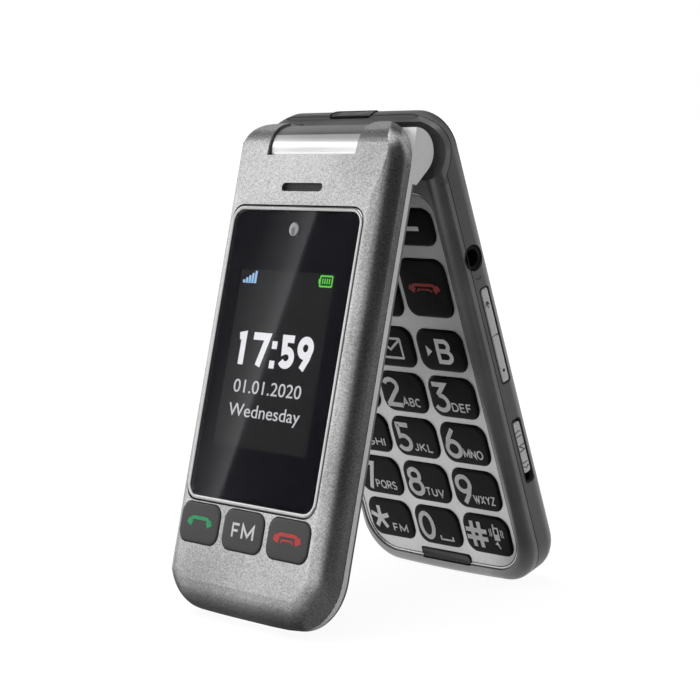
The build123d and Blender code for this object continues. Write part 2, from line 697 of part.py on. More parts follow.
with BuildPart() as base_rear_shell:
    add(carcass.part)
    add(front_region.part, mode=Mode.SUBTRACT)
    plate(battery_width + 2 * (bay_gap + bay_wall), battery_bottom - battery_top + 2 * (bay_gap + bay_wall),
          1.5, base_back + 0.1, bay_top, (0, battery_middle))
    plate(battery_width + 2 * bay_gap, battery_bottom - battery_top + 2 * bay_gap, 1.0,
          base_back - 1, bay_ceiling, (0, battery_middle), Mode.SUBTRACT)
    plate(cover_width + 2 * cover_gap, cover_bottom - cover_top + 2 * cover_gap, cover_corner + cover_gap,
          base_back - 1, cover_face, (0, cover_middle), Mode.SUBTRACT)
    drum(boss_radius + seat_clearance, floor_face + base_floor / 2 + 0.15, well_floor, base_screw_places,
         Mode.SUBTRACT)
    drum(screw_shank_radius + fit_clearance, base_back, well_floor, base_screw_places, Mode.SUBTRACT)
    drum(screw_head_radius + 0.2, base_back - 1, base_screw_seat + screw_head, base_screw_places,
         Mode.SUBTRACT)
    side_plate(rocker_slot, 0.9, rocker_middle, side_inside - 1, beyond, Mode.SUBTRACT)
    side_plate(slider_slot, 0.9, slider_slot_middle, side_inside - 1, beyond, Mode.SUBTRACT)
    with BuildSketch(Plane.YZ.offset(-beyond)) as usb_hole:
        with Locations((-usb_place, usb_level)):
            RectangleRounded(usb_width + 2 * side_gap, usb_height + 2 * side_gap, 1.0)
    extrude(usb_hole.sketch, amount=beyond - side_inside + 1, mode=Mode.SUBTRACT)
    with Locations((*speaker_place, base_back)):
        with GridLocations(2.2, 2.0, 7, 4):
            Cylinder(0.55, 6 * base_floor, mode=Mode.SUBTRACT)
stand(base_rear_shell, "base_rear_shell", base_pose)

# ---------------------------------------------------------------- base: panel, strip and keys

key_spans = {
    "key_soft_left": (-1, soft_key_top, soft_key_top + soft_key_height),
    "key_soft_right": (1, soft_key_top, soft_key_top + soft_key_height),
    "key_nav": (0, soft_key_top - nav_key_inset, nav_key_bottom),
    "key_send": (-1, call_key_top, call_key_top + call_key_height),
    "key_end": (1, call_key_top, call_key_top + call_key_height),
}
key_rows = [
    ("key_a", "key_message", "key_b"),
    ("key_1", "key_2", "key_3"),
    ("key_4", "key_5", "key_6"),
    ("key_7", "key_8", "key_9"),
    ("key_star", "key_0", "key_hash"),
]
for row, names in enumerate(key_rows):
    for column, name in enumerate(names):
        key_spans[name] = (column - 1, row_top + row * row_pitch, row_top + row * row_pitch + key_height)
key_places = {
    name: (column * column_pitch, -(top + bottom) / 2, bottom - top)
    for name, (column, top, bottom) in key_spans.items()
}

with BuildPart() as keypad_panel:
    extrude(panel_sketch(panel_back, 0), amount=panel_thickness)
    for x, y, height in key_places.values():
        plate(key_width + 2 * key_gap, height + 2 * key_gap, key_corner + key_gap,
              panel_back - 1, beyond, (x, y), Mode.SUBTRACT)
    plate(strip_length + 2 * seat_clearance, strip_width + 2 * seat_clearance, 0.8,
          panel_back - 1, beyond, (0, -strip_place), Mode.SUBTRACT)
stand(keypad_panel, "keypad_panel", base_pose)

with BuildPart() as foot_strip:
    plate(strip_length, strip_width, 0.8, base_front - strip_depth, base_front - 0.2, (0, -strip_place))
stand(foot_strip, "foot_strip", base_pose)

for name, (x, y, height) in key_places.items():
    with BuildPart() as key:
        plate(key_width, height, key_corner, flange_face, key_face, (x, y))
        fillet(key.edges().group_by(Axis.Z)[-1], 0.3)
        plate(key_width + 2 * key_flange, height + 2 * key_flange, key_corner + key_flange,
              flange_back, flange_face, (x, y))
    stand(key, name, base_pose)

with BuildPart() as key_mat:
    plate(panel_width - 2 * ledge_side - 2 * side_gap, mat_end_bottom - mat_end_top, 2.0,
          mat_top - mat_thickness, mat_top, (0, -(mat_end_top + mat_end_bottom) / 2))
stand(key_mat, "key_mat", base_pose)

# ---------------------------------------------------------------- base: inside

with BuildPart() as main_board:
    plate(board_width, board_end_bottom - board_end_top, 2.0, board_back, board_top,
          (0, -(board_end_top + board_end_bottom) / 2))
    bar((jack_shoulder - jack_body_length - 0.3, beyond),
        (-jack_place - jack_body_width / 2 - 0.3, -jack_place + jack_body_width / 2 + 0.3),
        (board_back - 1, board_top + 1), Mode.SUBTRACT)
stand(main_board, "main_board", base_pose)

with BuildPart() as board_parts:
    # battery contacts at the top of the bay
    bar((-5, 5), (-battery_top + bay_gap + bay_wall + 0.1, -battery_top + 4.2),
        (floor_face + 0.1, board_back))
    # card holder over the bay
    bar((-13, 0), (-62, -50), (bay_top + 0.05, board_back))
    # microphone near the bottom end
    bar((4, 8), (-board_end_bottom + 0.4, -board_end_bottom + 2.2), (board_back - 1.1, board_back))
    # switch behind each end of the volume button, and the one behind the slide switch
    for y in (-rocker_top - 4, -rocker_bottom + 4, slider_slot_middle):
        bar((board_width / 2 - 1.4, side_inside - 1.5), (y - 1.8, y + 1.8), (side_band - 1.1, board_back))
    # lamp behind the torch window
    bar((-2.5, 2.5), (torch_back - 1.7, torch_back - 0.6), (torch_middle - 0.9, torch_middle + 0.9))
stand(board_parts, "board_parts", base_pose)

with BuildPart() as battery:
    plate(battery_width, battery_bottom - battery_top, 1.2, battery_back, battery_face, (0, battery_middle))
    fillet(battery.edges().filter_by(GeomType.LINE).group_by(Axis.Z)[-1], 0.4)
stand(battery, "battery", base_pose)

with BuildPart() as battery_cover:
    plate(cover_width, cover_bottom - cover_top, cover_corner, base_back, cover_face - seat_clearance,
          (0, cover_middle))
    slot(notch_length, notch_width, base_back, base_back + notch_depth, (0, notch_width - cover_bottom),
         Mode.SUBTRACT)
stand(battery_cover, "battery_cover", base_pose)

with BuildPart() as loudspeaker:
    plate(*speaker_size, 2.0, floor_face + seat_clearance, floor_face + 3.2, speaker_place)
stand(loudspeaker, "loudspeaker", base_pose)

with BuildPart() as vibration_motor:
    motor_height = floor_face + motor_radius + seat_clearance
    rod(motor_radius, 6.0, 15.0, motor_place, motor_height)
    rod(motor_radius - 0.6, 15.3, 18.0, motor_place, motor_height)
    rod(0.4, 14.9, 15.4, motor_place, motor_height)
stand(vibration_motor, "vibration_motor", base_pose)

with BuildPart() as jack_socket:
    bar((jack_shoulder - jack_body_length, jack_shoulder),
        (-jack_place - jack_body_width / 2, -jack_place + jack_body_width / 2),
        (jack_height - jack_body_height / 2, jack_height + jack_body_height / 2))
    rod(jack_collar, jack_shoulder, jack_face, -jack_place, jack_height)
    rod(jack_bore, jack_face - jack_depth, base_half, -jack_place, jack_height, Mode.SUBTRACT)
stand(jack_socket, "jack_socket", base_pose)

with BuildPart() as usb_port:
    with BuildSketch(Plane.YZ.offset(-base_half + 0.4)) as usb_outline:
        with Locations((-usb_place, usb_level)):
            RectangleRounded(usb_width, usb_height, 0.8)
            RectangleRounded(usb_width - 2 * usb_wall, usb_height - 2 * usb_wall, 0.5, mode=Mode.SUBTRACT)
    extrude(usb_outline.sketch, amount=usb_depth)
    bar((-base_half + usb_depth, -base_half + usb_depth + 0.4),
        (-usb_place - usb_width / 2 + 0.2, -usb_place + usb_width / 2 - 0.2),
        (usb_level - usb_height / 2 + 0.2, usb_level + usb_height / 2 - 0.2))
    bar((-base_half + 1.4, -base_half + usb_depth), (-usb_place - 2, -usb_place + 2),
        (usb_level - 0.2, usb_level + 0.3))
stand(usb_port, "usb_port", base_pose)

with BuildPart() as base_screws:
    drum(screw_head_radius, base_screw_seat, base_screw_seat + screw_head, base_screw_places)
    drum(screw_shank_radius, base_screw_seat + screw_head, base_screw_seat + screw_head + base_screw_shank,
         base_screw_places)
stand(base_screws, "base_screws", base_pose)

# ---------------------------------------------------------------- base: side controls and torch

with BuildPart() as volume_rocker:
    side_plate((rocker_bottom - rocker_top, rocker_height), 0.7, rocker_middle, side_seat, side_depth)
    fillet(volume_rocker.edges().group_by(Axis.X)[-1], 0.35)
    bar((side_seat - side_flange, side_seat), (-rocker_bottom - side_lip, -rocker_top + side_lip),
        (side_band - rocker_height / 2 - side_lip, side_band + rocker_height / 2 + side_lip))
    drum(pivot_radius, side_band - rocker_height / 2 - side_lip - 0.25,
         side_band + rocker_height / 2 + side_lip + 0.25, [(side_seat - side_flange / 2, rocker_middle)])
    bar((base_half - 0.25, beyond), (rocker_middle - 0.15, rocker_middle + 0.15), (-beyond, 0),
        Mode.SUBTRACT)
stand(volume_rocker, "volume_rocker", base_pose)

with BuildPart() as torch_slider:
    side_plate((slider_length, slider_height), 0.7, slider_middle, side_seat, side_depth - 0.1)
    fillet(torch_slider.edges().group_by(Axis.X)[-1], 0.3)
    bar((side_seat - side_flange, side_seat),
        (slider_middle - slider_length / 2 - side_lip, slider_middle + slider_length / 2 + side_lip),
        (side_band - slider_height / 2 - side_lip, side_band + slider_height / 2 + side_lip))
stand(torch_slider, "torch_slider", base_pose)

with BuildPart() as torch_lens:
    with BuildSketch(Plane.XZ.offset(-base_crown + 0.25)) as lens_outline:
        with Locations((0, torch_middle)):
            RectangleRounded(torch_width, torch_height, 0.78)
    extrude(lens_outline.sketch, amount=torch_depth - 0.6)
stand(torch_lens, "torch_lens", base_pose)

# ---------------------------------------------------------------- hinge

with BuildPart() as hinge_barrel:
    with BuildSketch(Plane.YZ.offset(-block_half + 0.1)) as trim_outline:
        with BuildLine():
            CenterArc((0, 0), barrel_radius, trim_angle, trim_sweep)
            CenterArc((0, 0), barrel_radius - trim_thickness, trim_angle, trim_sweep)
            for turn in (trim_angle, trim_angle + trim_sweep):
                Line(polar(barrel_radius - trim_thickness, turn), polar(barrel_radius, turn))
        make_face()
    extrude(trim_outline.sketch, amount=block_width - 0.2)
stand(hinge_barrel, "hinge_barrel", base_pose)

with BuildPart() as hinge_cam_housing:
    rod(cam_radius, block_half - cam_length + 0.1, block_half)
    rod(cam_radius - 0.5, block_half - cam_length + 0.6, block_half - 2.4, mode=Mode.SUBTRACT)
    rod(shaft_radius + running_clearance, block_half - 3, block_half + 1, mode=Mode.SUBTRACT)
stand(hinge_cam_housing, "hinge_cam_housing", base_pose)

with BuildPart() as hinge_shaft:
    rod(shaft_radius, block_half - cam_length + 1.4, notch_half)
    with BuildSketch(Plane.YZ.offset(notch_half)) as key_end_outline:
        RegularPolygon(shaft_key, 6)
    extrude(key_end_outline.sketch, amount=shaft_key_length - 0.2)
stand(hinge_shaft, "hinge_shaft", lid_pose)

with BuildPart() as hinge_cam_spring:
    with BuildLine() as coil:
        Helix(1.0, 5.0, (cam_radius - 0.5 + shaft_radius) / 2, center=(block_half - cam_length + 1.2, 0, 0),
              direction=(1, 0, 0))
    with BuildSketch(Plane(coil.line @ 0, z_dir=coil.line % 0)):
        Circle(0.3)
    sweep(is_frenet=True)
stand(hinge_cam_spring, "hinge_cam_spring", base_pose)

with BuildPart() as hinge_pin:
    rod(pin_radius, -notch_half - pin_grip + 0.3, -block_half + pin_grip - 0.1)
    rod(pin_bore, -beyond, 0, mode=Mode.SUBTRACT)
stand(hinge_pin, "hinge_pin", base_pose)

with BuildPart() as hinge_flex:
    rod(pin_bore - 0.1, -notch_half - pin_grip + 0.6, -block_half + pin_grip - 0.2)
    rod(pin_bore - 0.4, -beyond, 0, mode=Mode.SUBTRACT)
stand(hinge_flex, "hinge_flex", base_pose)

# ---------------------------------------------------------------- set the phone on the floor and write it

standing = Compound(finished).bounding_box()
to_floor = Location((-standing.center().X, -standing.center().Y, -standing.min.Z))
for piece in finished:
    placed = piece.moved(to_floor)
    placed.label = piece.label
    export_step(placed, f"parts/{piece.label}.step")
print("hinge axis at", to_floor.position, "base tilt", round(base_tilt, 3), "lid tilt", round(lid_tilt, 3))
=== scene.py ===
# %% [markdown]
# A big-button flip phone stands half open on the ends of its two halves.
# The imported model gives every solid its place. This lesson dresses those solids in finishes,
# and adds the thin things that a solid model leaves out: key caps with a crown, printed legends,
# the lit picture behind the glass, beads, seams and screws.

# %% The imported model
import json
import math

import bmesh
import bpy
import numpy as np
from mathutils import Matrix, Vector


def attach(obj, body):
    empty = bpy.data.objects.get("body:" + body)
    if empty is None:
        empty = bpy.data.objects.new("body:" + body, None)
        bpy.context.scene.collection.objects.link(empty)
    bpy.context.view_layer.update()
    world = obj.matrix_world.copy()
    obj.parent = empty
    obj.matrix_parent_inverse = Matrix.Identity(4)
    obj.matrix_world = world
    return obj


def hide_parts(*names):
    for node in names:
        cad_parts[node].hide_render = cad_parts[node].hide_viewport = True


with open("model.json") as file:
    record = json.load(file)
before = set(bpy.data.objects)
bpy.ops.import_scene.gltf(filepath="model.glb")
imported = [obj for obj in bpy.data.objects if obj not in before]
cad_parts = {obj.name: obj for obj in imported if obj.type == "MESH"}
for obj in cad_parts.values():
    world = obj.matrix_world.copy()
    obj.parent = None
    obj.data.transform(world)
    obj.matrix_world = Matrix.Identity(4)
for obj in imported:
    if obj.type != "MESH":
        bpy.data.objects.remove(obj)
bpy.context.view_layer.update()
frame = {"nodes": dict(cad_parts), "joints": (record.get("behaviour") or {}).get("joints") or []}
nodes = frame["nodes"]

# %% [markdown]
# Each half of the phone is easiest to think of lying flat: x across it, y along it towards the hinge,
# z out of its front, all from the hinge axis and in millimetres.
# The record's joints say where the axis is and which way each half leans,
# so a point of a half is found from them and never from a typed angle.

# %% The two halves
MM = 0.001
joints = {joint["name"]: joint for joint in frame["joints"]}
HINGE = np.array(joints["lid_hinge"]["pos_m"])
ACROSS = np.array([1.0, 0.0, 0.0])
LEAN = {}
for half, pressed in (("base", "key_5_press"), ("lid", "lid_fm_button_press")):
    out = -np.array(joints[pressed]["axis"])
    LEAN[half] = np.stack([ACROSS, np.cross(out, ACROSS), out])


def to_world(points, half):
    """Millimetres of a half to metres of the room: hinge + x across + y along + z out."""
    return HINGE + MM * (np.asarray(points, float) @ LEAN[half])


print("hinge axis at", HINGE.round(5), *(f"{half} faces {way[2].round(3)}" for half, way in LEAN.items()))

# %% [markdown]
# Every new piece starts as arrays: points, and faces that name their corners.
# A surface is a grid of points, so its faces are four neighbours each, found with whole arrays.
# A grid that closes on itself takes its first row again after its last.

# %% Surfaces from grids
MERGE_WITHIN = 2e-7


def grid(rows, columns):
    """Every value of one run beside every value of the other, as two arrays."""
    return np.meshgrid(rows, columns, indexing="ij")


def xyz(x, y, z):
    """A grid of points from grids of x, y and z. A plain number serves for every point."""
    return np.stack(np.broadcast_arrays(x, y, z), -1)


def quads(rows, columns, round_rows=False, round_columns=False):
    """Corners of every cell of a grid: (i, j), (i + 1, j), (i + 1, j + 1), (i, j + 1)."""
    i, j = grid(np.arange(rows - (not round_rows)), np.arange(columns - (not round_columns)))
    k, m = (i + 1) % rows, (j + 1) % columns
    corners = [i * columns + j, k * columns + j, k * columns + m, i * columns + m]
    return np.stack(corners, -1).reshape(-1, 4).tolist()


def skin(points, round_rows=False, round_columns=True):
    """(points, faces) of a grid of points."""
    return points.reshape(-1, 3), quads(*points.shape[:2], round_rows, round_columns)


def together(parts):
    """Several (points, faces) as one, with the faces counted on."""
    points, faces, count = [], [], 0
    for some_points, some_faces in parts:
        points.append(np.asarray(some_points, float).reshape(-1, 3))
        faces += [[corner + count for corner in face] for face in some_faces]
        count += len(points[-1])
    return np.concatenate(points), faces


def placed(name, data):
    """A new object in the scene."""
    thing = bpy.data.objects.new(name, data)
    bpy.context.scene.collection.objects.link(thing)
    return thing


def object_of(name, points, faces, material, flat=None):
    """An object from points in metres and faces. flat gives every point its UV."""
    mesh = bpy.data.meshes.new(name)
    mesh.from_pydata(points.reshape(-1, 3).tolist(), [], faces)
    if flat is not None:
        corners = np.zeros(len(mesh.loops), np.int32)
        mesh.loops.foreach_get("vertex_index", corners)
        mesh.uv_layers.new(name="flat").data.foreach_set("uv", flat[corners].astype(np.float32).ravel())
    mesh.materials.append(material)
    return placed(name, mesh)


def piece(name, parts, half, body, material, sharp=35.0):
    """One named, closed object from (points, faces) in millimetres of a half.
    UV holds the flat x and y in millimetres, and edges of more than sharp degrees stay sharp."""
    points, faces = together(parts)
    thing = object_of(name, to_world(points, half), faces, material, points[:, :2])
    work = bmesh.new()
    work.from_mesh(thing.data)
    bmesh.ops.remove_doubles(work, verts=work.verts, dist=MERGE_WITHIN)
    bmesh.ops.recalc_face_normals(work, faces=work.faces)
    work.to_mesh(thing.data)
    work.free()
    thing.data.shade_smooth()
    thing.data.set_sharp_from_angle(angle=math.radians(sharp))
    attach(thing, body)
    return thing


print("a grid of 3 by 4 points has", len(quads(3, 4)), "cells, or", len(quads(3, 4, True, True)), "if closed")

# %% [markdown]
# A finish is a graph of nodes. A few helpers make a node and wire it in one line:
# a value that is a node or an output is linked, and any other value is set on the socket itself.

# %% Nodes in one line


def tree_of(holder):
    """The emptied node tree of a material or world."""
    holder.use_nodes = True
    holder.node_tree.nodes.clear()
    return holder.node_tree


def blank(name):
    """A new material and its emptied tree."""
    made = bpy.data.materials.new(name)
    return made, tree_of(made)


def feed(tree, socket, value):
    """Links a node's first output, or a given output, to a socket, or sets a plain value on it."""
    value = value.outputs[0] if isinstance(value, bpy.types.Node) else value
    if isinstance(value, bpy.types.NodeSocket):
        tree.links.new(socket, value)
    else:
        socket.default_value = value


def put(tree, kind, *inputs, **values):
    """A node. inputs fill its sockets in order; values name a socket, with _ for a space, or an attribute."""
    made = tree.nodes.new("ShaderNode" + kind)
    for name, value in values.items():
        socket = name.replace("_", " ")
        if socket in made.inputs:
            feed(tree, made.inputs[socket], value)
        else:
            setattr(made, name, value)
    for socket, value in zip(made.inputs, inputs):
        feed(tree, socket, value)
    return made


def maths(tree, operation, first, second, **more):
    """A Math node of two values."""
    return put(tree, "Math", first, second, operation=operation, **more)


def mapped(tree, value, low, high, start=0.0, end=1.0, **more):
    """A value carried from the run between start and end to the run between low and high."""
    return put(tree, "MapRange", value, start, end, low, high, **more)


def ramp(tree, value, stops):
    """A Color Ramp through (position, grey or colour) stops."""
    made = put(tree, "ValToRGB", value)
    points = made.color_ramp.elements
    while len(points) < len(stops):
        points.new(0.5)
    for point, (position, shade) in zip(points, stops):
        point.position = position
        point.color = (*shade, 1) if hasattr(shade, "__len__") else (shade, shade, shade, 1)
    return made


def place_of(tree, half=None):
    """Object coordinates, turned so that z comes out of a half where the pattern has a direction."""
    coordinates = put(tree, "TexCoord").outputs["Object"]
    if half is None:
        return coordinates
    return put(tree, "Mapping", coordinates, Rotation=Matrix(LEAN[half].tolist()).to_euler())


def noise(tree, where, size, detail):
    """Noise whose lumps are about size millimetres wide."""
    return put(tree, "TexNoise", where, Scale=1000.0 / size, Detail=detail)


def principled(made, tree, **values):
    """The material, closed with a Principled shader of these inputs."""
    put(tree, "OutputMaterial", put(tree, "BsdfPrincipled", **values))
    return made


def rgba(colour, share=1.0):
    """A colour times a share, with its alpha."""
    return (*(share * part for part in colour), 1)


def grey(value, warmth=0.0):
    """A grey, a little towards blue when warmth is below zero."""
    return (value * (1 + warmth), value, value * (1 - warmth))


print("node helpers made; a cool grey is", grey(0.5, -0.1))

# %% [markdown]
# The studio is a pale floor under a white room. One soft lamp on the left lights the lid,
# a weaker one behind on the right draws the far edges, and a broad one overhead fills in.
# The room is white to the camera and in reflections, and dimmer as a light,
# so the shape is drawn by the lamps.

# %% Floor and room
ROOM_LIGHT = 0.30
WHITE = (1, 1, 1, 1)
FLOOR_HALF, FLOOR_DROP, FLOOR_POINTS = 4.0, 0.00002, 9
FLOOR_TINT, FLOOR_GLOW = (0.88, 0.92), 1.15
SWEEP_NEAR, SWEEP_FAR, SWEEP_LEAST = 0.06, 0.32, 0.80


def seen_directly(tree):
    """1 for what the camera, a reflection or a clear piece shows, 0 for light that falls on things."""
    ray = put(tree, "LightPath").outputs
    either = maths(tree, "ADD", ray["Is Camera Ray"], ray["Is Glossy Ray"])
    return maths(tree, "ADD", either, ray["Is Transmission Ray"], use_clamp=True)


world = bpy.data.worlds.new("white_room")
bpy.context.scene.world = world
tree = tree_of(world)
dim, white = (put(tree, "Background", WHITE, strength) for strength in (ROOM_LIGHT, 1.0))
put(tree, "OutputWorld", put(tree, "MixShader", seen_directly(tree), dim, white))

floor_finish, tree = blank("pale_floor")
grit = put(tree, "TexNoise", place_of(tree), Scale=60.0, Detail=3.0)
matt = put(tree, "BsdfDiffuse", mapped(tree, grit, *FLOOR_TINT))
away = put(tree, "VectorMath", place_of(tree), operation="LENGTH").outputs["Value"]
sweep = mapped(tree, away, SWEEP_LEAST, 1.0, SWEEP_NEAR, SWEEP_FAR, interpolation_type="SMOOTHSTEP")
share = maths(tree, "MULTIPLY", seen_directly(tree), sweep)
put(tree, "OutputMaterial", put(tree, "MixShader", share, matt, put(tree, "Emission", WHITE, FLOOR_GLOW)))

run = np.linspace(-1, 1, FLOOR_POINTS) * FLOOR_HALF
floor = object_of("floor", xyz(*grid(run, run), -FLOOR_DROP), quads(FLOOR_POINTS, FLOOR_POINTS), floor_finish)
print("floor", 2 * FLOOR_HALF, "m wide, room light", ROOM_LIGHT)

# %% [markdown]
# The camera looks from the right and a little above, with a slight roll, and a lens long enough
# to keep the two halves nearly parallel. Its place is counted from the hinge axis.

# %% Camera
CAMERA_AZIMUTH, CAMERA_ELEVATION, CAMERA_ROLL = np.radians([47.0087, 7.4871, -2.5131])
CAMERA_DISTANCE, CAMERA_RIGHT, CAMERA_UP = 424.565, 3.4773, -40.8475
STAND_TURN = math.radians(0.565)
FOCAL_PIXELS, FRAME_PIXELS, SENSOR = 2058.268, 700, 36.0


def about_x(vector, angle):
    """A vector turned about the x axis."""
    c, s = math.cos(angle), math.sin(angle)
    return np.array([[1, 0, 0], [0, c, -s], [0, s, c]]) @ vector


sa, ca = math.sin(CAMERA_AZIMUTH), math.cos(CAMERA_AZIMUTH)
se, ce = math.sin(CAMERA_ELEVATION), math.cos(CAMERA_ELEVATION)
sr, cr = math.sin(CAMERA_ROLL), math.cos(CAMERA_ROLL)
back, level, upright = np.array([[sa * ce, -ca * ce, se], [ca, sa, 0], [-sa * se, ca * se, ce]])
right, up = cr * level + sr * upright, -sr * level + cr * upright
eye = back * CAMERA_DISTANCE + right * CAMERA_RIGHT + up * CAMERA_UP
back, right, up, eye = (about_x(vector, STAND_TURN) for vector in (back, right, up, eye))
EYE = HINGE + MM * eye
camera = placed("camera", bpy.data.cameras.new("camera"))
camera.data.sensor_width = SENSOR
camera.data.lens = FOCAL_PIXELS * SENSOR / FRAME_PIXELS
camera.data.clip_start, camera.data.clip_end = 0.01, 50.0
camera.matrix_world = Matrix([*np.stack([right, up, back, EYE], 1).tolist(), [0, 0, 0, 1]])
bpy.context.scene.camera = camera
bpy.context.scene.view_settings.view_transform = "Standard"
print("camera at", EYE.round(4), "lens", round(camera.data.lens, 2))

# %% [markdown]
# Lamps are named for what they do. Each one is aimed at the middle of the phone from a compass angle
# and a height angle, and its strength is written as the light that reaches the phone.

# %% Lamps
MIDDLE = np.array([0.0, 0.0, 0.05])


def lamp(name, azimuth, elevation, distance, size, light):
    """A square soft lamp at a compass angle, counted from the viewer's side, and a height angle.
    light is the irradiance at the phone over pi: 1 shows a colour as written."""
    data = bpy.data.lights.new(name, "AREA")
    data.shape, data.size = "SQUARE", size
    data.energy = light * math.pi ** 2 * distance ** 2
    a, e = math.radians(azimuth), math.radians(elevation)
    towards = np.array([math.sin(a) * math.cos(e), -math.cos(a) * math.cos(e), math.sin(e)])
    thing = placed(name, data)
    thing.location = MIDDLE + towards * distance
    thing.rotation_mode = "QUATERNION"
    thing.rotation_quaternion = Vector(towards).to_track_quat("Z", "Y")


lamp("lid_lamp", -58, 36, 0.9, 1.3, 0.40)
lamp("edge_lamp", 140, 20, 1.0, 0.9, 0.16)
lamp("top_lamp", -30, 74, 1.1, 0.9, 0.25)

# %% [markdown]
# Cards are a product photographer's tool. They show in reflections only, and shape what the paint and
# the glass mirror. Each point of a card holds one number, and the card glows by it or by a function of it.

# %% Cards that only reflections see


def card(name, x, y, z, held, glow_of=None):
    """A screen from grids of x, y and z in metres. held is its number at each point, kept as UV."""
    material, tree = blank(name)
    number = put(tree, "SeparateXYZ", put(tree, "UVMap", uv_map="flat"))
    put(tree, "OutputMaterial", put(tree, "Emission", WHITE, glow_of(tree, number) if glow_of else number))
    flat = np.column_stack([held.ravel(), np.zeros(held.size)])
    thing = object_of(name, xyz(x, y, z), quads(*held.shape), material, flat)
    thing.visible_camera = thing.visible_diffuse = False
    thing.visible_shadow = thing.visible_volume_scatter = False


print("the lid faces", LEAN["lid"][2].round(2), "so its card stands in front and to the left")

# %% [markdown]
# One card stands where the glass looks, with a slanting bright stripe that fades away to the left.
# Its place is found by mirroring the camera in the glass.

# %% The card in the glass
WINDOW_FACE = 7.2
GLARE_TOP, GLARE_FOOT = (5.9, -14.0), (-9.1, -73.5)
GLARE_REACH, CARD_REACH, CARD_POINTS = 30.0, 2.3, 9
GLARE = [(0.0, 0.03), (0.26, 0.06), (0.40, 0.26), (0.494, 0.62), (0.506, 0.05), (1.0, 0.02)]


def stripe(tree, across):
    """Dark, then rising to white at the stripe's sharp edge, then dark."""
    return ramp(tree, mapped(tree, across, 0.0, 1.0, -GLARE_REACH, GLARE_REACH), GLARE)


x, y = grid(np.linspace(-23, 23, CARD_POINTS), np.linspace(-9, -79, CARD_POINTS))
edge = GLARE_TOP[0] + (GLARE_FOOT[0] - GLARE_TOP[0]) * (y - GLARE_TOP[1]) / (GLARE_FOOT[1] - GLARE_TOP[1])
on_glass = to_world(xyz(x, y, WINDOW_FACE), "lid")
height = (EYE - on_glass[0, 0]) @ LEAN["lid"][2]
mirrored_eye = EYE - 2 * height * LEAN["lid"][2]
on_card = mirrored_eye + (on_glass - mirrored_eye) * CARD_REACH
card("glass_card", *np.moveaxis(on_card, -1, 0), x - edge, stripe)
card_gap = np.linalg.norm(on_card - on_glass, axis=-1).mean()
print("glass card stands", round(float(card_gap), 3), "m from the glass")

# %% [markdown]
# Curved cards stand round the phone, so the rounded side of the lid and the top of the hinge go dark
# instead of white. Their glow is a run of stops along the card times a run of stops up it.

# %% Cards on a cylinder
CARD_RADIUS, CARD_ALONG, CARD_UP = 0.2, 33, 9
EVEN = [(0, 1), (1, 1)]


def curved_card(name, from_azimuth, to_azimuth, low, high, along, up):
    """A screen on a cylinder about the phone, between two compass angles and two heights."""
    turn, rise = grid(np.radians(np.linspace(from_azimuth, to_azimuth, CARD_ALONG)),
                      np.linspace(low, high, CARD_UP))
    glow = np.outer(*(np.interp(np.linspace(0, 1, count), *zip(*stops))
                      for count, stops in ((CARD_ALONG, along), (CARD_UP, up))))
    card(name, CARD_RADIUS * np.sin(turn), -CARD_RADIUS * np.cos(turn), rise, glow)


curved_card("camera_card", 26, 165, 0.002, 0.34,
            [(0, 0.95), (0.1, 0.5), (0.2, 0.03), (0.72, 0.010), (0.79, 0.4), (0.86, 0.9), (1, 1)], EVEN)
curved_card("ceiling_card", -100, 12, 0.205, 0.60, EVEN, [(0, 0.5), (0.12, 0.2), (0.4, 0.05), (1, 0.05)])
curved_card("low_card", -110, 10, 0.001, 0.030, [(0, 1), (0.55, 1), (1, 0.3)],
            [(0, 0.35), (0.5, 0.6), (1, 0.95)])
curved_card("hinge_card", -96, -215, 0.10, 0.60,
            [(0, 0.95), (0.12, 0.6), (0.35, 0.42), (0.55, 0.12), (0.8, 0.02), (0.9, 0.10), (1, 0.7)],
            [(0, 1), (1, 0.7)])
print("curved cards stand", CARD_RADIUS, "m from the middle")

# %% [markdown]
# Three small cards are for the feet, where the paint mirrors the floor: one lies in front of the lid and
# brightens away from it, one lies beside the phone, and one stands by the base.

# %% Cards by the feet
FOOT_LINE = -0.0345
reach = [-0.006, 0, 0.001, 0.002, 0.004, 0.006, 0.009, 0.013, 0.019, 0.028, 0.040, 0.06, 0.10, 0.17, 0.27]
far, aside = grid(reach, np.linspace(-0.30, 0.14, 45))
near = np.interp(far, [0, 0.003, 0.007, 0.013, 0.022, 0.04, 0.10, 0.27],
                 [0.10, 0.20, 0.34, 0.52, 0.70, 0.85, 0.95, 1.0])
card("foot_card", aside, FOOT_LINE - far, 0.0004,
     near * np.interp(aside, [-0.01, 0.03, 0.14], [1.0, 0.40, 0.12]))
turn, away = grid(np.radians(np.linspace(28, 155, 26)), np.linspace(0.02, 0.2, 7))
card("beside_card", away * np.sin(turn), -away * np.cos(turn), 0.0006,
     np.interp(np.degrees(turn), [28, 42, 60, 90, 115, 135, 155], [0.14, 0.14, 0.11, 0.06, 0.05, 0.28, 0.9]))
s, t = grid(np.linspace(0, 1, 4), np.linspace(0.0005, 0.060, 4))
card("side_card", 0.050 + 0.036 * s, 0.018 - 0.04 * s, t, 0.16 - 0.12 * s)
print("foot card starts", FOOT_LINE, "m from the middle")

# %% [markdown]
# Nearly every finish here is one of a family: a tint that wanders a little, a fine grain in the mould
# or the paint, and a gloss that is never quite even. One recipe makes them all.
# The grain's size is given in millimetres, and its pattern is fixed to the phone.

# %% One recipe for moulded and painted finishes


